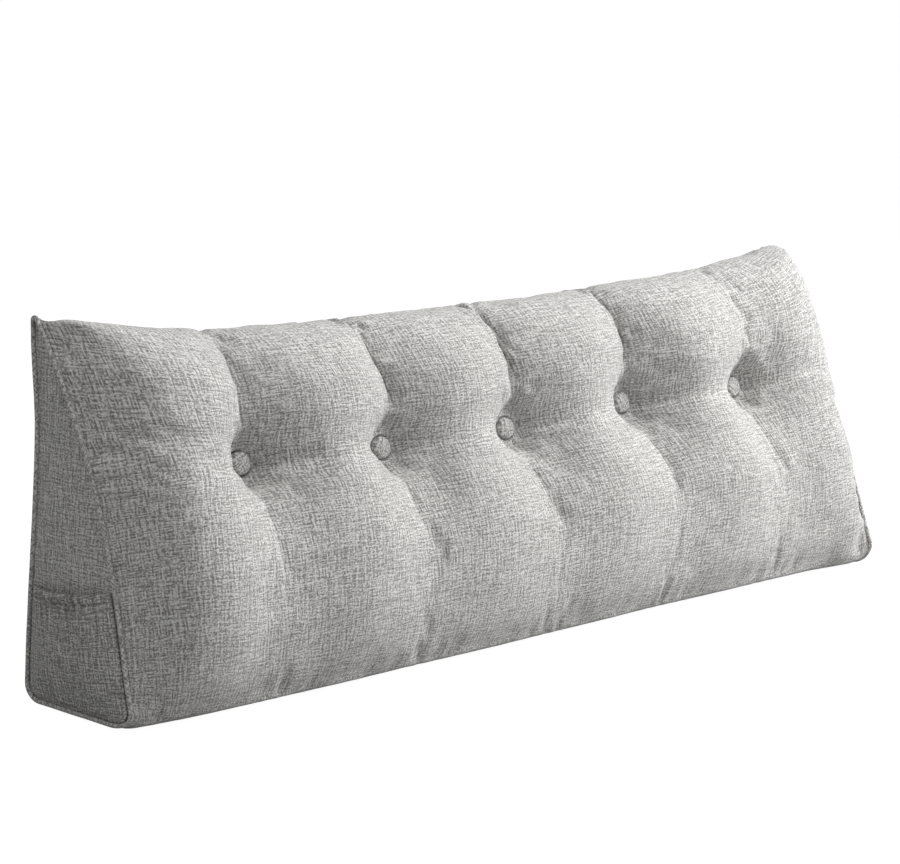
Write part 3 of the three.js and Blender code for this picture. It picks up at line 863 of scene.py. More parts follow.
@dataclass(frozen=True)
class FillingPress:
    """The cloth simulation in which the filling presses the cover out between its seams and buttons."""

    spacing: float = 0.011
    last_gap: float = 0.6
    pressure: float = 4.0
    frames: int = 20
    spare_cloth: float = 0.015
    bending: float = 0.4
    cap: float = 0.005
    seam_hold: float = 0.012
    channel_hold: float = 0.007
    channel_firmness: float = 0.6
    channel_rise: tuple[float, float] = (-0.03, 0.02)
    seat_hold: float = 0.022
    seat_fade: float = 1.8
    base_hold: tuple[float, float] = (0.004, 0.02)
    least_hold: float = 0.01
    wrap: int = 3

    def sparse(self, places: np.ndarray) -> np.ndarray:
        """Numbers of the places that are kept so that they lie about one spacing apart."""
        kept = [0]
        for number, place in enumerate(places[:-1]):
            clear_of_end = places[-1] - place >= self.last_gap * self.spacing
            if clear_of_end and place - places[kept[-1]] >= self.spacing:
                kept.append(number)
        return np.array(kept + [len(places) - 1])

    def hold(self, x: np.ndarray, rise: np.ndarray, points: np.ndarray) -> np.ndarray:
        """How firmly each point is held, from 0, free, to 1, fixed.

        Args:
            x: stations along the pillow, as a column.
            rise: cloth lengths from the button row, as a row.
            points: the points to hold.

        Returns:
            The firmness at each station and row.
        """
        held = 1.0 - smoothstep(FORM.half - np.abs(x), 0.0, self.seam_hold)
        held = np.maximum(held, 1.0 - smoothstep(points[..., 2], *self.base_hold))
        for tuft in FORM.tufts:
            away = np.abs(x - tuft.x)
            channel = self.channel_firmness * (1.0 - smoothstep(away, 0.0, self.channel_hold))
            held = np.maximum(held, channel * smoothstep(rise, *self.channel_rise))
            seat = np.hypot(away, rise)
            fade_end = self.seat_fade * self.seat_hold
            held = np.maximum(held, 1.0 - smoothstep(seat, self.seat_hold, fade_end))
        return np.clip(held, 0.0, 1.0)

    def push(self, x: np.ndarray, v: np.ndarray, points: np.ndarray) -> np.ndarray:
        """Runs the simulation on a sparse copy of the skin.

        Args:
            x: the skin's stations.
            v: cloth lengths of its rows, with the closing row's at the end.
            points: its points by station and row.

        Returns:
            How far each point moves.
        """
        stations = self.sparse(x)
        rows = self.sparse(v)[:-1]
        coarse = points[np.ix_(stations, rows)]
        held = self.hold(x[stations][:, None], v[rows][None, :], coarse)
        moved = self.simulate(coarse, held) - coarse
        length = np.linalg.norm(moved, axis=-1, keepdims=True)
        moved *= np.minimum(1.0, self.cap / np.maximum(length, TINY))
        moved *= (1.0 - held)[..., None]
        kept = v[rows]
        girth = v[-1] - v[0]
        around = np.concatenate([kept[-self.wrap :] - girth, kept, kept[: self.wrap] + girth])
        ring = np.concatenate([moved[:, -self.wrap :], moved, moved[:, : self.wrap]], axis=1)
        by_row = glide(around, ring.transpose(1, 0, 2), v[:-1]).transpose(1, 0, 2)
        return glide(x[stations], by_row, x)

    def simulate(self, grid: np.ndarray, held: np.ndarray) -> np.ndarray:
        """Presses a closed copy of the skin out with Blender's cloth solver.

        Args:
            grid: points by station and row, whose rows close on themselves.
            held: how firmly each is held.

        Returns:
            Where the points come to rest.
        """
        stations, rows = grid.shape[:2]
        numbers = np.arange(stations * rows).reshape(stations, rows)
        middles = np.stack([grid[0].mean(axis=0), grid[-1].mean(axis=0)])
        faces: list[Sequence[int]] = []
        for low, high in zip(numbers[1:], numbers[:-1]):
            faces += quads_between(low, high).tolist()
        count = stations * rows
        first, last = numbers[0], numbers[-1][::-1]
        faces += [(int(a), int(b), count) for a, b in zip(first, np.roll(first, -1))]
        faces += [(int(a), int(b), count + 1) for a, b in zip(last, np.roll(last, -1))]
        cover = new_mesh_object("cover_in_press", np.concatenate([grid.reshape(-1, 3), middles]), faces)
        pins = cover.vertex_groups.new(name="held")
        firmness = np.concatenate([held.ravel(), [1.0, 1.0]])
        for number in np.flatnonzero(firmness > self.least_hold):
            pins.add([int(number)], float(firmness[number]), "REPLACE")
        press = cover.modifiers.new("filling", "CLOTH")
        press.settings.vertex_group_mass = pins.name
        press.settings.use_pressure = True
        press.settings.uniform_pressure_force = self.pressure
        press.settings.shrink_min = -self.spare_cloth
        press.settings.bending_stiffness = self.bending
        press.settings.effector_weights.gravity = 0.0
        for frame_number in range(1, self.frames + 1):
            bpy.context.scene.frame_set(frame_number)
        apply_modifier(cover, press.name)
        bpy.context.scene.frame_set(1)
        rest = np.zeros(len(cover.data.vertices) * 3)
        cover.data.vertices.foreach_get("co", rest)
        bpy.data.objects.remove(cover)
        return rest.reshape(-1, 3)[:count].reshape(grid.shape)


@dataclass
class Cushion:
    """The filled body: its skin, puffs, channels and end panels."""

    grid: SkinGrid = field(default_factory=SkinGrid)
    relief: ClothRelief = field(default_factory=ClothRelief)
    filling: FillingPress = field(default_factory=FillingPress)
    front_blend: int = 6
    foot_start: float = 0.004
    seam_fade: float = 0.003
    back_unevenness: float = 0.0015
    back_waves: tuple[float, float] = (0.09, 0.3)
    panel_rings: int = 18
    panel_spread: float = 1.3
    panel_unevenness: float = 0.0012
    panel_waves: tuple[float, float] = (0.06, 0.2)
    above_pocket: tuple[float, float] = (0.16, 0.22)
    cloth_per_puff: float = 0.285
    fill: float = 0.8

    def skin(self) -> tuple[np.ndarray, np.ndarray, np.ndarray]:
        """Works out the skin's points and its weave coordinates.

        Returns:
            The points by station and row, u by station and row, and v by row with the closing
            row's value added at its end.
        """
        x = self.grid.stations()
        rows = self.grid.rows()
        points = FORM.points(x, rows)
        steps = np.linalg.norm(np.roll(points, -1, axis=1) - points, axis=2).mean(axis=0)
        row_zero = self.grid.low_rows
        v = np.concatenate([[0.0], np.cumsum(steps)])
        v -= v[row_zero]
        points = points + self.filling.push(x, v, points)
        u = self.cloth_across(x, points)
        rise = v[None, :-1]
        face_and_roll = self.grid.low_rows + self.grid.high_rows + self.grid.roll_rows
        number = np.arange(points.shape[1])[None, :]
        blend = (face_and_roll - self.front_blend, face_and_roll + self.front_blend)
        on_front = 1.0 - smoothstep(number, *blend)
        from_foot = smoothstep(points[..., 2], self.foot_start, self.relief.base_fade)
        front = self.relief.height(x[:, None], rise)
        back = Waves(Seed.BACK, *self.back_waves).at(x[:, None], rise) * self.back_unevenness
        height = mix(back, front, on_front) * from_foot
        in_from_seam = smoothstep(FORM.half - np.abs(x), 0.0, self.seam_fade)[:, None]
        return points + grid_normals(points) * (height * in_from_seam)[..., None], u, v

    def cloth_across(self, x: np.ndarray, points: np.ndarray) -> np.ndarray:
        """Cloth length along each row, with each puff given the same cut width.

        Args:
            x: the stations.
            points: the skin's points.

        Returns:
            The length from the left seam at each station and row.
        """
        edges = np.array([border.x for border in FORM.borders])
        steps = np.linalg.norm(np.diff(points, axis=0), axis=2)
        run = np.concatenate([np.zeros((1, points.shape[1])), np.cumsum(steps, axis=0)])
        u = np.zeros_like(run)
        for number, (start, end) in enumerate(zip(edges, edges[1:])):
            first = int(np.argmin(np.abs(x - start)))
            last = int(np.argmin(np.abs(x - end)))
            part = run[first : last + 1]
            share = (part - part[0]) / np.maximum(part[-1] - part[0], TINY)
            u[first : last + 1] = (number + share) * self.cloth_per_puff
        return u

    def panel(self, seam: np.ndarray, side: int) -> np.ndarray:
        """Rings of points over one end panel, from its seam towards its middle.

        Args:
            seam: the seam's points.
            side: -1 for the left end, 1 for the right one.

        Returns:
            The rings' points, and one more ring whose points all lie at the middle.
        """
        flat = seam[:, 1:]
        middle = flat.mean(axis=0)
        scales = 1.0 - (np.arange(1, self.panel_rings + 1) / self.panel_rings) ** self.panel_spread
        spots = middle + (flat - middle)[None] * scales[:, None, None]
        swell = FORM.swell(flat, spots)
        waves = Waves(Seed.LEFT_PANEL if side < 0 else Seed.RIGHT_PANEL, *self.panel_waves)
        uneven = waves.at(spots[..., 0], spots[..., 1]) * self.panel_unevenness
        fade = np.clip(swell / FORM.panel_swell, 0.0, 1.0) ** 2
        if side < 0:
            fade = fade * smoothstep(spots[..., 1], *self.above_pocket)
        out = side * (FORM.half + swell + uneven * fade)
        return np.concatenate([out[..., None], spots], axis=2)

    def build(self) -> bpy.types.Object:
        """Makes the cushion as one closed mesh.

        Returns:
            The finished piece.
        """
        skin, u, v = self.skin()
        stations, rows = skin.shape[:2]
        numbers = np.arange(stations * rows).reshape(stations, rows)
        points = [skin.reshape(-1, 3)]
        faces: list[Sequence[int]] = []
        corners: list[np.ndarray] = []
        u_closed = np.concatenate([u, u[:, :1]], axis=1)
        for i in range(stations - 1):
            faces += quads_between(numbers[i + 1], numbers[i]).tolist()
            near, far = u_closed[i], u_closed[i + 1]
            quad_u = np.stack([far[:-1], far[1:], near[1:], near[:-1]], axis=1)
            quad_v = np.stack([v[:-1], v[1:], v[1:], v[:-1]], axis=1)
            corners.append(np.stack([quad_u, quad_v], axis=2).reshape(-1, 2))
        count = stations * rows
        for side, edge in ((-1, 0), (1, stations - 1)):
            rings = self.panel(skin[edge], side)
            inner = rings[:-1]
            points += [inner.reshape(-1, 3), rings[-1, :1]]
            loops = [numbers[edge], *(count + np.arange(len(inner) * rows).reshape(-1, rows))]
            spots = [skin[edge], *inner]
            for outer_loop, inner_loop, outer, ring in zip(loops, loops[1:], spots, spots[1:]):
                order = (outer_loop, inner_loop) if side < 0 else (inner_loop, outer_loop)
                pair = (outer, ring) if side < 0 else (ring, outer)
                faces += quads_between(*order).tolist()
                corners.append(self.panel_corners(*pair))
            middle = count + len(inner) * rows
            last = loops[-1] if side < 0 else loops[-1][::-1]
            last_spots = spots[-1] if side < 0 else spots[-1][::-1]
            fan = np.stack([last, np.roll(last, -1), np.full(rows, middle)], axis=1)
            faces += fan.tolist()
            middle_spots = np.broadcast_to(rings[-1, 0], last_spots.shape)
            trio = np.stack([last_spots, np.roll(last_spots, -1, axis=0), middle_spots], axis=1)
            corners.append(trio[..., 1:].reshape(-1, 2))
            count = middle + 1
        piece = new_mesh_object("cushion_cover", np.concatenate(points), faces, np.concatenate(corners))
        stand_for(piece, "cushion")
        return piece

    @staticmethod
    def panel_corners(low: np.ndarray, high: np.ndarray) -> np.ndarray:
        """The weave map's corners on quads between two rings of a panel."""
        quads = np.stack([low, np.roll(low, -1, axis=0), np.roll(high, -1, axis=0), high], axis=1)
        return quads[..., 1:].reshape(-1, 2)


@dataclass
class EndCord:
    """The covered cord in one end seam."""

    side: int
    grid: SkinGrid = field(default_factory=SkinGrid)
    radius: float = 0.003
    out: float = 0.0022
    rise: float = 0.0013
    sides: int = 14
    twist_length: float = 0.007
    unevenness: float = 0.00012

    def build(self) -> bpy.types.Object:
        """Makes the cord as a closed ring round the seam.

        Returns:
            The finished piece.
        """
        name = "left" if self.side < 0 else "right"
        seam = FORM.points(np.array([self.side * FORM.half]), self.grid.rows())[0]
        run = np.roll(seam, -1, axis=0) - np.roll(seam, 1, axis=0)
        run[:, 0] = 0.0
        run /= np.linalg.norm(run, axis=1, keepdims=True)
        outward = np.stack([np.zeros(len(run)), -run[:, 2], run[:, 1]], axis=1)
        across = np.array([self.side, 0.0, 0.0])
        centres = seam + across * self.out + outward * self.rise
        lengths = np.linalg.norm(np.roll(seam, -1, axis=0) - seam, axis=1)
        along = np.concatenate([[0.0], np.cumsum(lengths)])
        angles = np.arange(self.sides) / self.sides * 2 * math.pi * self.side
        puckers = 1.0 + self.unevenness / self.radius * np.sin(along[:-1] * 2 * math.pi / self.twist_length)
        spokes = np.cos(angles)[None, :, None] * across
        spokes = spokes + np.sin(angles)[None, :, None] * outward[:, None, :]
        rings = centres[:, None, :] + spokes * (self.radius * puckers)[:, None, None]
        numbers = np.arange(len(seam) * self.sides).reshape(len(seam), self.sides)
        girth = np.arange(self.sides + 1) / self.sides * 2 * math.pi * self.radius
        faces: list[Sequence[int]] = []
        corners: list[np.ndarray] = []
        for i in range(len(seam)):
            following = (i + 1) % len(seam)
            faces += quads_between(numbers[following], numbers[i]).tolist()
            ends = (along[i + 1], along[i + 1], along[i], along[i])
            girths = (girth[:-1], girth[1:], girth[1:], girth[:-1])
            quad = [np.stack([end + round_it, end - round_it], axis=1) for end, round_it in zip(ends, girths)]
            corners.append(np.stack(quad, axis=1).reshape(-1, 2) / math.sqrt(2))
        piece = new_mesh_object(f"piping_cord_{name}", rings.reshape(-1, 3), faces, np.concatenate(corners))
        stand_for(piece, f"piping_{name}")
        return piece


@dataclass
class PocketSheet:
    """The flat pocket on the left end, gathered at its mouth by an elastic hem."""

    thickness: float = 0.002
    gap: float = 0.0004
    inset: float = 0.006
    foot: float = 0.015
    mouth_front: float = 0.175
    mouth_back: float = 0.158
    mouth_sag: float = 0.004
    belly: float = 0.014
    belly_shape: float = 0.7
    belly_rise: float = 2.2
    gathers: int = 19
    gather_depth: float = 0.0042
    gather_fade: float = 0.022
    wander_long: tuple[float, float, float] = (0.012, 2.3, 0.1)
    wander_short: tuple[float, float] = (0.006, 40.0)
    broad_gathers: float = 0.53
    broad_depth: float = 0.5
    broad_start: float = 1.1
    broad_fade: float = 2.6
    edge_slope: float = 12.0
    hem: float = 0.012
    hem_swell: float = 0.002
    hem_step: float = 0.001
    hem_round: float = 0.002
    mouth_thinning: float = 0.004
    stitch_depth: float = 0.0026
    stitch_width: float = 0.0018
    cut_width: float = 0.21
    cut_height: float = 0.16
    columns: int = 150
    rows: int = 84
    row_spread: float = 1.3
    grid: SkinGrid = field(default_factory=SkinGrid)

    def panel_range(self, seam: np.ndarray, heights: np.ndarray) -> tuple[np.ndarray, np.ndarray]:
        """The pocket's front and back edges on the end panel.

        Args:
            seam: the panel's seam, as y and z.
            heights: heights to measure at.

        Returns:
            The edges' y at each height.
        """
        following = np.roll(seam, -1, axis=0)
        front = np.zeros_like(heights)
        back = np.zeros_like(heights)
        for index, z in np.ndenumerate(heights):
            crossed = (seam[:, 1] - z) * (following[:, 1] - z) < 0
            share = (z - seam[crossed, 1]) / (following[crossed, 1] - seam[crossed, 1])
            y = mix(seam[crossed, 0], following[crossed, 0], share)
            front[index] = y.min() + self.inset
            back[index] = y.max() - self.inset
        return front, back

    def build(self) -> bpy.types.Object:
        """Makes the pocket as one thin closed sheet.

        Returns:
            The finished piece.
        """
        seam = FORM.points(np.array([-FORM.half]), self.grid.rows())[0][:, 1:]
        across = np.linspace(0.0, 1.0, self.columns + 1)[None, :]
        up = (1.0 - (1.0 - np.linspace(0.0, 1.0, self.rows + 1)) ** self.row_spread)[:, None]
        mouth = mix(self.mouth_front, self.mouth_back, across)
        mouth = mouth - self.mouth_sag * np.sin(math.pi * across)
        z = mix(self.foot, mouth, up)
        front, back = self.panel_range(seam, z)
        y = mix(front, back, across)
        arch = np.maximum(np.sin(math.pi * across), 0.0) ** self.belly_shape
        belly = self.belly * arch * (1.0 - (1.0 - up) ** self.belly_rise)
        down = mouth - z
        out = FORM.swell(seam, np.stack([y, z], axis=-1)) + self.gap + belly
        out += self.gathering(across, down, arch)
        edge = np.minimum(np.minimum(across, 1.0 - across) * self.edge_slope, 1.0)
        edge = np.minimum(edge, np.clip(down / self.mouth_thinning, 0.0, 1.0) * 0.5 + 0.5)
        thick = self.thickness + self.hem_shape(down) * edge
        inner = np.stack([-FORM.half - out, y, z], axis=-1)
        outer = np.stack([-FORM.half - out - thick, y, z], axis=-1)
        return self.close(inner, outer, down)

    def gathering(self, across: np.ndarray, down: np.ndarray, arch: np.ndarray) -> np.ndarray:
        """The small uneven folds that the elastic draws the mouth into.

        Args:
            across: share across the pocket.
            down: distance below the mouth.
            arch: share of the belly's height, which is zero at the sewn edges.

        Returns:
            How far the folds stand out.
        """
        amount, turns, start = self.wander_long
        wander = across + amount * np.sin(2 * math.pi * (turns * across + start))
        amount, rate = self.wander_short
        wander = wander + amount * np.sin(rate * across)
        turn = 2 * math.pi * self.gathers
        fine = np.sin(turn * wander)
        broad = self.broad_depth * np.sin(turn * self.broad_gathers * wander + self.broad_start)
        fine_fade = np.exp(-down / self.gather_fade)
        broad_fade = np.exp(-down / (self.broad_fade * self.gather_fade))
        return self.gather_depth * arch * (fine * fine_fade + broad * broad_fade)

    def hem_shape(self, down: np.ndarray) -> np.ndarray:
        """The extra thickness of the hem and the stitched line under it."""
        in_hem = 1.0 - smoothstep(down, self.hem - self.hem_step, self.hem + self.hem_step)
        round_top = np.sqrt(np.clip(down / self.hem_round, 0.0, 1.0))
        swell = self.hem_swell * in_hem * round_top
        return swell - self.stitch_depth * bump_at(down, self.hem, self.stitch_width)

    def close(self, inner: np.ndarray, outer: np.ndarray, down: np.ndarray) -> bpy.types.Object:
        """Joins the sheet's two faces round its edges.

        Args:
            inner: points of the face towards the panel.
            outer: points of the face that shows.
            down: distance below the mouth at each point.

        Returns:
            The finished piece.
        """
        rows, columns = inner.shape[:2]
        first = np.arange(rows * columns).reshape(rows, columns)
        second = first + rows * columns
        shown = np.stack([second[:-1, :-1], second[1:, :-1], second[1:, 1:], second[:-1, 1:]], axis=-1)
        hidden = np.stack([first[:-1, :-1], first[:-1, 1:], first[1:, 1:], first[1:, :-1]], axis=-1)
        rims = []
        for a, b in (
            (first[0], second[0]),
            (second[-1], first[-1]),
            (second[:, 0], first[:, 0]),
            (first[:, -1], second[:, -1]),
        ):
            rims.append(np.stack([a[:-1], b[:-1], b[1:], a[1:]], axis=1))
        faces = np.concatenate([shown.reshape(-1, 4), hidden.reshape(-1, 4), *rims])
        steps = np.linalg.norm(np.diff(outer.mean(axis=0), axis=0), axis=1)
        run = np.concatenate([[0.0], np.cumsum(steps)])
        u = np.broadcast_to(run[None, :], inner.shape[:2])
        flat = np.stack([u, -down], axis=-1).reshape(-1, 2)
        both = np.concatenate([flat, flat])
        points = np.concatenate([inner.reshape(-1, 3), outer.reshape(-1, 3)])
        piece = new_mesh_object("pocket_sheet", points, faces, both[faces].reshape(-1, 2))
        stand_for(piece, "pocket")
        return piece


def deselect_all() -> None:
    """Clears the selection, because an operator acts on all that is selected."""
    for other in bpy.context.selected_objects:
        other.select_set(False)


def apply_modifier(piece: bpy.types.Object, name: str) -> None:
    """Applies the modifier of that name to a piece."""
    deselect_all()
    bpy.context.view_layer.objects.active = piece
    bpy.ops.object.modifier_apply(modifier=name)


def select_faces(piece: bpy.types.Object, wanted: Callable[[bmesh.types.BMFace], bool]) -> None:
    """Selects the faces of a piece in edit mode that a test picks.

    Args:
        piece: the object in edit mode.
        wanted: the test.
    """
    editing = bmesh.from_edit_mesh(piece.data)
    for face in editing.faces:
        face.select_set(wanted(face))
    editing.select_flush_mode()
    bmesh.update_edit_mesh(piece.data)


def apply_subdivision(piece: bpy.types.Object, levels: int) -> None:
    """Adds subdivision to a piece and applies it."""
    smoother = piece.modifiers.new("rounding", "SUBSURF")
    smoother.levels = levels
    smoother.render_levels = levels
    apply_modifier(piece, smoother.name)


@dataclass
class CoveredButtons:
    """The five cloth-covered buttons, each sewn into its seat on the face."""

    radius: float = 0.0155
    back_radius: float = 0.013
    rim_height: float = 0.003
    skirt: float = 0.0076
    gap: float = 0.0006
    crown_steps: tuple[tuple[float, float], ...] = (
        (0.0012, 0.0027),
        (0.0026, 0.0019),
        (0.0036, 0.0008),
        (0.0038, 0.0003),
    )
    back_inset: float = 0.004
    level_normal: float = 0.9
    sides: int = 40
    levels: int = 2
    gathers: int = 17
    gather_depth: float = 0.00025
    gather_from: float = 0.72
    least_radius: float = 0.000001
    spin_step: float = 0.5

    def model(self) -> bpy.types.Object:
        """Models one button, facing up, with its skirt below the ground.

        Returns:
            The button.
        """
        deselect_all()
        bpy.ops.mesh.primitive_cylinder_add(
            vertices=self.sides,
            radius=self.radius,
            depth=self.rim_height + self.skirt,
            location=(0.0, 0.0, (self.rim_height - self.skirt) / 2),
        )
        button = bpy.context.object
        button.name = "covered_button"
        bpy.ops.object.transform_apply(location=True, rotation=True, scale=True)
        bpy.ops.object.mode_set(mode="EDIT")
        bpy.ops.mesh.select_mode(type="FACE")
        select_faces(button, lambda face: face.normal.z < -self.level_normal)
        bpy.ops.mesh.inset(thickness=self.radius - self.back_radius)
        bpy.ops.mesh.inset(thickness=self.back_inset)
        bpy.ops.mesh.poke()
        select_faces(button, lambda face: face.normal.z > self.level_normal)
        for inwards, upwards in self.crown_steps:
            bpy.ops.mesh.inset(thickness=inwards)
            bpy.ops.transform.translate(value=(0.0, 0.0, upwards))
        bpy.ops.mesh.poke()
        bpy.ops.object.mode_set(mode="OBJECT")
        apply_subdivision(button, self.levels)
        self.gather_edge(button)
        return button

    def gather_edge(self, button: bpy.types.Object) -> None:
        """Draws the side of the cover into shallow gathers, as cloth pulled over a shell.

        Args:
            button: the button's object, changed in place.
        """
        for vertex in button.data.vertices:
            radius = math.hypot(vertex.co.x, vertex.co.y)
            edge = max(radius / self.radius - self.gather_from, 0.0) / (1.0 - self.gather_from)
            angle = math.atan2(vertex.co.y, vertex.co.x)
            pull = self.gather_depth * edge ** 2 * math.sin(self.gathers * angle + math.sin(3.0 * angle))
            scale = 1.0 + pull / max(radius, self.least_radius)
            vertex.co.x *= scale
            vertex.co.y *= scale

    def weave(self, button: bpy.types.Object) -> None:
        """Lays the weave map over the button, by length of cloth from its middle."""
        layers = button.data.uv_layers
        while layers:
            layers.remove(layers[0])
        layer = layers.new(name=WEAVE_MAP)
        for loop in button.data.loops:
            co = button.data.vertices[loop.vertex_index].co
            radius = math.hypot(co.x, co.y)
            length = radius + max(self.rim_height - co.z, 0.0)
            scale = length / max(radius, self.least_radius)
            layer.data[loop.index].uv = (co.x * scale, co.y * scale)

    def build(self) -> list[bpy.types.Object]:
        """Copies the modelled button to each seat.

        Returns:
            The five buttons.
        """
        first = self.model()
        self.weave(first)
        buttons = []
        for number, tuft in enumerate(FORM.tufts, start=1):
            mesh = first.data.copy()
            line = FORM.outline(np.array([tuft.x]))
            seat = Vector(FORM.face_points(line, np.zeros((1, 1)))[0, 0])
            slope = float(line.slope[0, 0])
            outward = Vector((0.0, -math.sin(slope), math.cos(slope)))
            turn = Vector((0.0, 0.0, 1.0)).rotation_difference(outward).to_matrix().to_4x4()
            spin = Matrix.Rotation(self.spin_step * number, 4, "Z")
            mesh.transform(Matrix.Translation(seat + outward * self.gap) @ turn @ spin)
            mesh.shade_smooth()
            button = bpy.data.objects.new(f"covered_button_{number}", mesh)
            bpy.context.scene.collection.objects.link(button)
            stand_for(button, f"button_{number}")
            buttons.append(button)
        bpy.data.objects.remove(first)
        return buttons


class Signal:
    """A node's output socket, with arithmetic that adds Math nodes."""

    def __init__(self, graph: "Graph", socket: Optional[bpy.types.NodeSocket]) -> None:
        """Keeps the graph that the socket belongs to."""
        self.graph = graph
        self.socket = socket

    def __add__(self, other: Any) -> "Signal":
        """Adds a number or a signal."""
        return self.graph.math("ADD", self, other)

    __radd__ = __add__

    def __mul__(self, other: Any) -> "Signal":
        """Multiplies by a number or a signal."""
        return self.graph.math("MULTIPLY", self, other)

    __rmul__ = __mul__

    def __sub__(self, other: Any) -> "Signal":
        """Takes a number or a signal away."""
        return self.graph.math("SUBTRACT", self, other)

    def __rsub__(self, other: Any) -> "Signal":
        """Takes this signal away from a number."""
        return self.graph.math("SUBTRACT", other, self)

    def __truediv__(self, other: Any) -> "Signal":
        """Divides by a number or a signal."""
        return self.graph.math("DIVIDE", self, other)


class Graph:
    """A node tree that is written as expressions."""

    def __init__(self, tree: bpy.types.NodeTree) -> None:
        """Starts from an empty tree."""
        self.tree = tree
        tree.nodes.clear()

    def add(self, kind: str, settings: dict[str, Any], values: dict[Any, Any], output: Any = 0) -> Signal:
        """Adds one node.

        Args:
            kind: the node's type.
            settings: what is set on the node itself, such as its operation.
            values: the value of, or link to, each named or numbered input socket.
            output: the name or number of the output that is returned.

        Returns:
            That output.
        """
        node = self.tree.nodes.new(kind)
        for key, value in settings.items():
            setattr(node, key, value)
        for key, value in values.items():
            if isinstance(value, Signal):
                self.tree.links.new(value.socket, node.inputs[key])
            else:
                node.inputs[key].default_value = value
        return Signal(self, node.outputs[output] if len(node.outputs) else None)

    def math(self, operation: str, first: Any, second: Any = 0.0) -> Signal:
        """Adds a Math node on one or two values."""
        return self.add("ShaderNodeMath", {"operation": operation}, {0: first, 1: second})

    def shift(self, operation: str, values: dict[int, Any]) -> Signal:
        """Adds a Vector Math node."""
        return self.add("ShaderNodeVectorMath", {"operation": operation}, values)

    def vector(self, x: Any, y: Any) -> Signal:
        """Makes a vector of two values."""
        return self.add("ShaderNodeCombineXYZ", {}, {0: x, 1: y})

    def noise(self, place: Signal, scale: float, detail: float, roughness: float = 0.5) -> Signal:
        """Adds a noise texture and returns its value."""
        inputs = {"Vector": place, "Scale": scale, "Detail": detail, "Roughness": roughness}
        return self.add("ShaderNodeTexNoise", {"noise_dimensions": "2D"}, inputs, "Fac")

    def between(self, value: Signal, low: float, high: float) -> Signal:
        """Eases a value from 0 at low to 1 at high."""
        inputs = {"Value": value, "From Min": low, "From Max": high}
        return self.add("ShaderNodeMapRange", {"interpolation_type": "SMOOTHSTEP"}, inputs)

    def colour_mix(self, share: Signal, first: Any, second: Any) -> Signal:
        """Mixes two colours."""
        settings = {"data_type": "RGBA", "blend_type": "MIX"}
        return self.add("ShaderNodeMix", settings, {0: share, 6: first, 7: second}, 2)


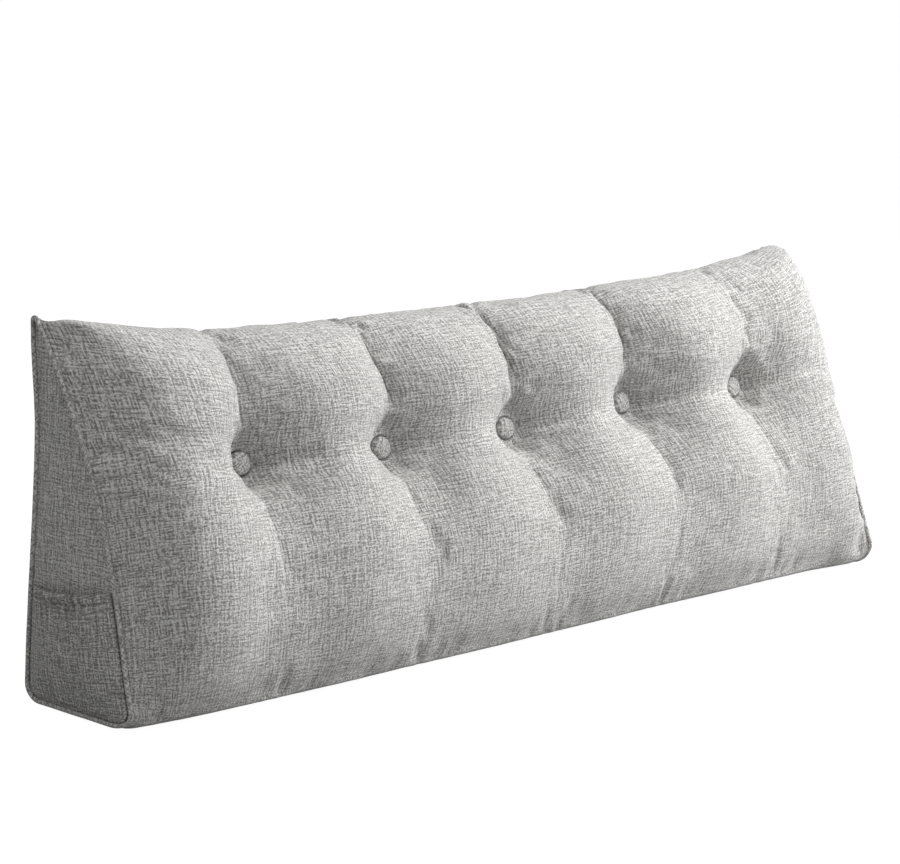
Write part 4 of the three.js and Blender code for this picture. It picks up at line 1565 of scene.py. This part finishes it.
@dataclass(frozen=True)
class LinenFinish:
    """Heathered slub linen: pale and dark yarns in a plain weave, with long thick streaks."""

    name: str
    dark: tuple[float, float, float, float] = (0.235, 0.23, 0.222, 1.0)
    pale: tuple[float, float, float, float] = (0.84, 0.83, 0.81, 1.0)
    warp_pitch: float = 0.002
    weft_pitch: float = 0.0015
    slub_length: float = 0.03
    fleck_length: float = 0.01
    rib_length: float = 0.022
    grain_across: float = 0.003
    grain_up: float = 0.0022
    slub_weight: float = 0.125
    fleck_weight: float = 0.11
    rib_weight: float = 1.5
    grain_weight: float = 1.85
    broad_weight: float = 0.03
    slub_jump: float = 7.31
    fleck_jump: float = 11.37
    fleck_seed: float = 3.1
    rib_jump: float = 0.43
    slub_range: tuple[float, float] = (0.55, 0.72)
    fleck_range: tuple[float, float] = (0.3, 0.7)
    weft_seed: float = 41.0
    crossing: float = 0.35
    under_weight: float = 0.75
    over_weight: float = 0.5
    broad_scale: float = 9.0
    weave_weight: float = 0.2
    weave_mean: float = 0.6
    base_tone: float = 0.42
    tone_range: tuple[float, float] = (-0.2, 1.2)
    wander: float = 0.003
    wander_scale: float = 14.0
    relief_weight: float = 0.5
    bump_strength: float = 0.9
    bump_height: float = 0.0006
    roughness: float = 0.92
    roughness_change: float = 0.05
    sheen: float = 0.25
    sheen_roughness: float = 0.5
    specular: float = 0.25

    def yarn(self, graph: Graph, number: Signal, along: Signal, seed: float) -> Signal:
        """The shade of the yarns that run one way.

        Args:
            graph: the material's graph.
            number: each yarn's number.
            along: cloth length along the yarns.
            seed: keeps the two ways of the weave apart.

        Returns:
            The shade, mostly between -0.5, dark, and 0.5, pale.
        """
        slub_at = graph.vector(number * self.slub_jump + seed, along / self.slub_length)
        fleck_start = self.fleck_seed * seed
        fleck_at = graph.vector(number * self.fleck_jump + fleck_start, along / self.fleck_length)
        rib_at = graph.vector(number * self.rib_jump + seed, along / self.rib_length)
        slub = graph.between(graph.noise(slub_at, 1.0, 0.0), *self.slub_range)
        fleck = graph.between(graph.noise(fleck_at, 1.0, 1.0), *self.fleck_range) - 0.5
        rib = graph.math("COSINE", number * math.pi) * (graph.noise(rib_at, 1.0, 1.0) - 0.5)
        return self.slub_weight * slub + self.fleck_weight * fleck + self.rib_weight * rib

    def make(self) -> bpy.types.Material:
        """Builds the material.

        Returns:
            The material.
        """
        material = bpy.data.materials.new(self.name)
        material.use_nodes = True
        graph = Graph(material.node_tree)
        place = graph.add("ShaderNodeUVMap", {"uv_map": WEAVE_MAP}, {})
        inputs = {"Vector": place, "Scale": self.wander_scale}
        drift = graph.add("ShaderNodeTexNoise", {"noise_dimensions": "2D"}, inputs, "Color")
        offset = graph.shift("SUBTRACT", {0: drift, 1: (0.5, 0.5, 0.5)})
        moved = graph.shift("MULTIPLY_ADD", {0: offset, 1: (self.wander,) * 3, 2: place})
        u = graph.add("ShaderNodeSeparateXYZ", {}, {0: moved}, 0)
        v = graph.add("ShaderNodeSeparateXYZ", {}, {0: moved}, 1)
        warp_at = u / self.warp_pitch
        weft_at = v / self.weft_pitch
        warp = self.yarn(graph, graph.math("FLOOR", warp_at), v, 0.0)
        weft = self.yarn(graph, graph.math("FLOOR", weft_at), u, self.weft_seed)
        cell = graph.math("COSINE", warp_at * math.pi) * graph.math("COSINE", weft_at * math.pi)
        over = graph.between(cell, -self.crossing, self.crossing)
        on_top = warp * over + weft * (1.0 - over)
        streaks = self.under_weight * (warp + weft) + self.over_weight * on_top
        broad = graph.noise(place, self.broad_scale, 3.0, 0.6) - 0.5
        grain = graph.noise(graph.vector(u / self.grain_across, v / self.grain_up), 1.0, 1.0) - 0.5
        warp_ridge = graph.math("ABSOLUTE", graph.math("SINE", warp_at * math.pi))
        weft_ridge = graph.math("ABSOLUTE", graph.math("SINE", weft_at * math.pi))
        weave = warp_ridge * over + weft_ridge * (1.0 - over)
        tone = self.base_tone + streaks + self.grain_weight * grain
        tone = tone + self.broad_weight * broad + self.weave_weight * (weave - self.weave_mean)
        relief = self.relief_weight * weave + self.relief_weight * streaks
        colour = graph.colour_mix(graph.between(tone, *self.tone_range), self.dark, self.pale)
        inputs = {"Strength": self.bump_strength, "Distance": self.bump_height, "Height": relief}
        bump = graph.add("ShaderNodeBump", {}, inputs)
        rough = self.roughness - self.roughness_change * streaks
        shader = graph.add(
            "ShaderNodeBsdfPrincipled",
            {},
            {
                "Base Color": colour,
                "Roughness": rough,
                "Normal": bump,
                "Sheen Weight": self.sheen,
                "Sheen Roughness": self.sheen_roughness,
                "Specular IOR Level": self.specular,
            },
        )
        graph.add("ShaderNodeOutputMaterial", {}, {"Surface": shader})
        return material

    def dress(self, pieces: Iterable[bpy.types.Object]) -> None:
        """Gives the pieces this finish."""
        material = self.make()
        for piece in pieces:
            piece.data.materials.clear()
            piece.data.materials.append(material)


@dataclass
class Studio:
    """The pale floor, the white surroundings and the soft lights."""

    floor_size: float = 60.0
    floor_tone: float = 0.44
    floor_white: float = 0.75
    floor_glow: float = 1.3
    floor_drop: float = 0.0002
    surround: float = 0.307
    surround_blue: float = 1.01
    surround_glow: float = 1.02
    key_place: tuple[float, float, float] = (3.05, -1.7, 2.0)
    key_aim: tuple[float, float, float] = (0.1, 0.0, 0.2)
    key_size: float = 2.2
    key_power: float = 176.0
    top_place: tuple[float, float, float] = (-0.3, -0.4, 3.0)
    top_size: float = 3.0
    top_power: float = 30.0

    def build(self) -> None:
        """Makes the floor, the surroundings and the lights."""
        self.make_floor()
        self.make_surround()
        self.add_light("key_light", self.key_place, self.key_aim, self.key_size, self.key_power)
        self.add_light("top_light", self.top_place, self.key_aim, self.top_size, self.top_power)

    def make_floor(self) -> None:
        """Makes a pale floor that shows nearly white, with the pillow's soft shadow on it."""
        half = self.floor_size / 2
        points = np.array([(-half, -half, 0.0), (half, -half, 0.0), (half, half, 0.0), (-half, half, 0.0)])
        floor = new_mesh_object("studio_floor", points - (0.0, 0.0, self.floor_drop), [(0, 1, 2, 3)])
        material = bpy.data.materials.new("floor_paper")
        material.use_nodes = True
        graph = Graph(material.node_tree)
        tone = (self.floor_tone, self.floor_tone, self.floor_tone, 1.0)
        matt = graph.add("ShaderNodeBsdfDiffuse", {}, {"Color": tone})
        white = graph.add("ShaderNodeEmission", {}, {"Color": WHITE, "Strength": self.floor_glow})
        seen = graph.add("ShaderNodeLightPath", {}, {}, "Is Camera Ray")
        both = graph.add("ShaderNodeMixShader", {}, {0: seen * self.floor_white, 1: matt, 2: white})
        graph.add("ShaderNodeOutputMaterial", {}, {"Surface": both})
        floor.data.materials.append(material)

    def make_surround(self) -> None:
        """Makes the surroundings white to the eye and a dimmer even light for the pillow."""
        world = bpy.data.worlds.new("studio")
        bpy.context.scene.world = world
        world.use_nodes = True
        graph = Graph(world.node_tree)
        light = (self.surround, self.surround, self.surround * self.surround_blue, 1.0)
        soft = graph.add("ShaderNodeBackground", {}, {"Color": light, "Strength": 1.0})
        white = graph.add("ShaderNodeBackground", {}, {"Color": WHITE, "Strength": self.surround_glow})
        seen = graph.add("ShaderNodeLightPath", {}, {}, "Is Camera Ray")
        both = graph.add("ShaderNodeMixShader", {}, {0: seen, 1: soft, 2: white})
        graph.add("ShaderNodeOutputWorld", {}, {"Surface": both})

    @staticmethod
    def add_light(name: str, place: Sequence[float], aim: Sequence[float], size: float, power: float) -> None:
        """Adds one soft square light.

        Args:
            name: the light's name.
            place: where it stands.
            aim: the point that it faces.
            size: its side.
            power: its power in watts.
        """
        data = bpy.data.lights.new(name, "AREA")
        data.shape = "SQUARE"
        data.size = size
        data.energy = power
        light = bpy.data.objects.new(name, data)
        light.location = place
        light.rotation_mode = "QUATERNION"
        light.rotation_quaternion = (Vector(aim) - Vector(place)).to_track_quat("-Z", "Y")
        bpy.context.scene.collection.objects.link(light)


@dataclass(frozen=True)
class PhotoCamera:
    """The camera that the photograph was taken with, fitted to the pillow's corners and buttons."""

    azimuth: float = -46.663
    elevation: float = 10.552
    roll: float = 1.749
    distance: float = 4.468052
    target: tuple[float, float, float] = (0.027701, 0.092, 0.263849)
    lens: float = 123.178
    sensor: float = 36.0
    clip: tuple[float, float] = (0.1, 200.0)

    def build(self) -> bpy.types.Object:
        """Makes the camera the scene's own.

        Returns:
            The camera.
        """
        turn = math.radians(self.azimuth)
        tilt = math.radians(self.elevation)
        roll = math.radians(self.roll)
        back = Vector((math.sin(turn) * math.cos(tilt), -math.cos(turn) * math.cos(tilt), math.sin(tilt)))
        level = Vector((math.cos(turn), math.sin(turn), 0.0))
        upright = back.cross(level)
        right = level * math.cos(roll) + upright * math.sin(roll)
        up = upright * math.cos(roll) - level * math.sin(roll)
        data = bpy.data.cameras.new("photo_camera")
        data.lens = self.lens
        data.sensor_width = self.sensor
        data.clip_start, data.clip_end = self.clip
        camera = bpy.data.objects.new("photo_camera", data)
        pose = Matrix((right, up, back)).transposed().to_4x4()
        pose.translation = Vector(self.target) + back * self.distance
        camera.matrix_world = pose
        bpy.context.scene.collection.objects.link(camera)
        bpy.context.scene.camera = camera
        return camera


def main() -> None:
    """Builds the pillow's pieces, dresses them and sets up the studio."""
    logging.basicConfig(level=logging.INFO, format="%(name)s: %(message)s")
    bpy.context.scene.view_settings.view_transform = "Standard"
    PhotoCamera().build()
    pieces = [Cushion().build(), EndCord(side=-1).build(), EndCord(side=1).build(), PocketSheet().build()]
    pieces += CoveredButtons().build()
    LinenFinish("slub_linen").dress(pieces)
    # The pocket sheet gets a darker copy of the same linen: painted shade for the shadow on the left end
    # panel.
    shaded = LinenFinish("slub_linen_shaded", base_tone=0.25)
    shaded.dress(piece for piece in pieces if piece.name == "pocket_sheet")
    for piece in pieces:
        LOG.info("%s: %d faces", piece.name, len(piece.data.polygons))
    Studio().build()


if __name__ == "__main__":
    main()
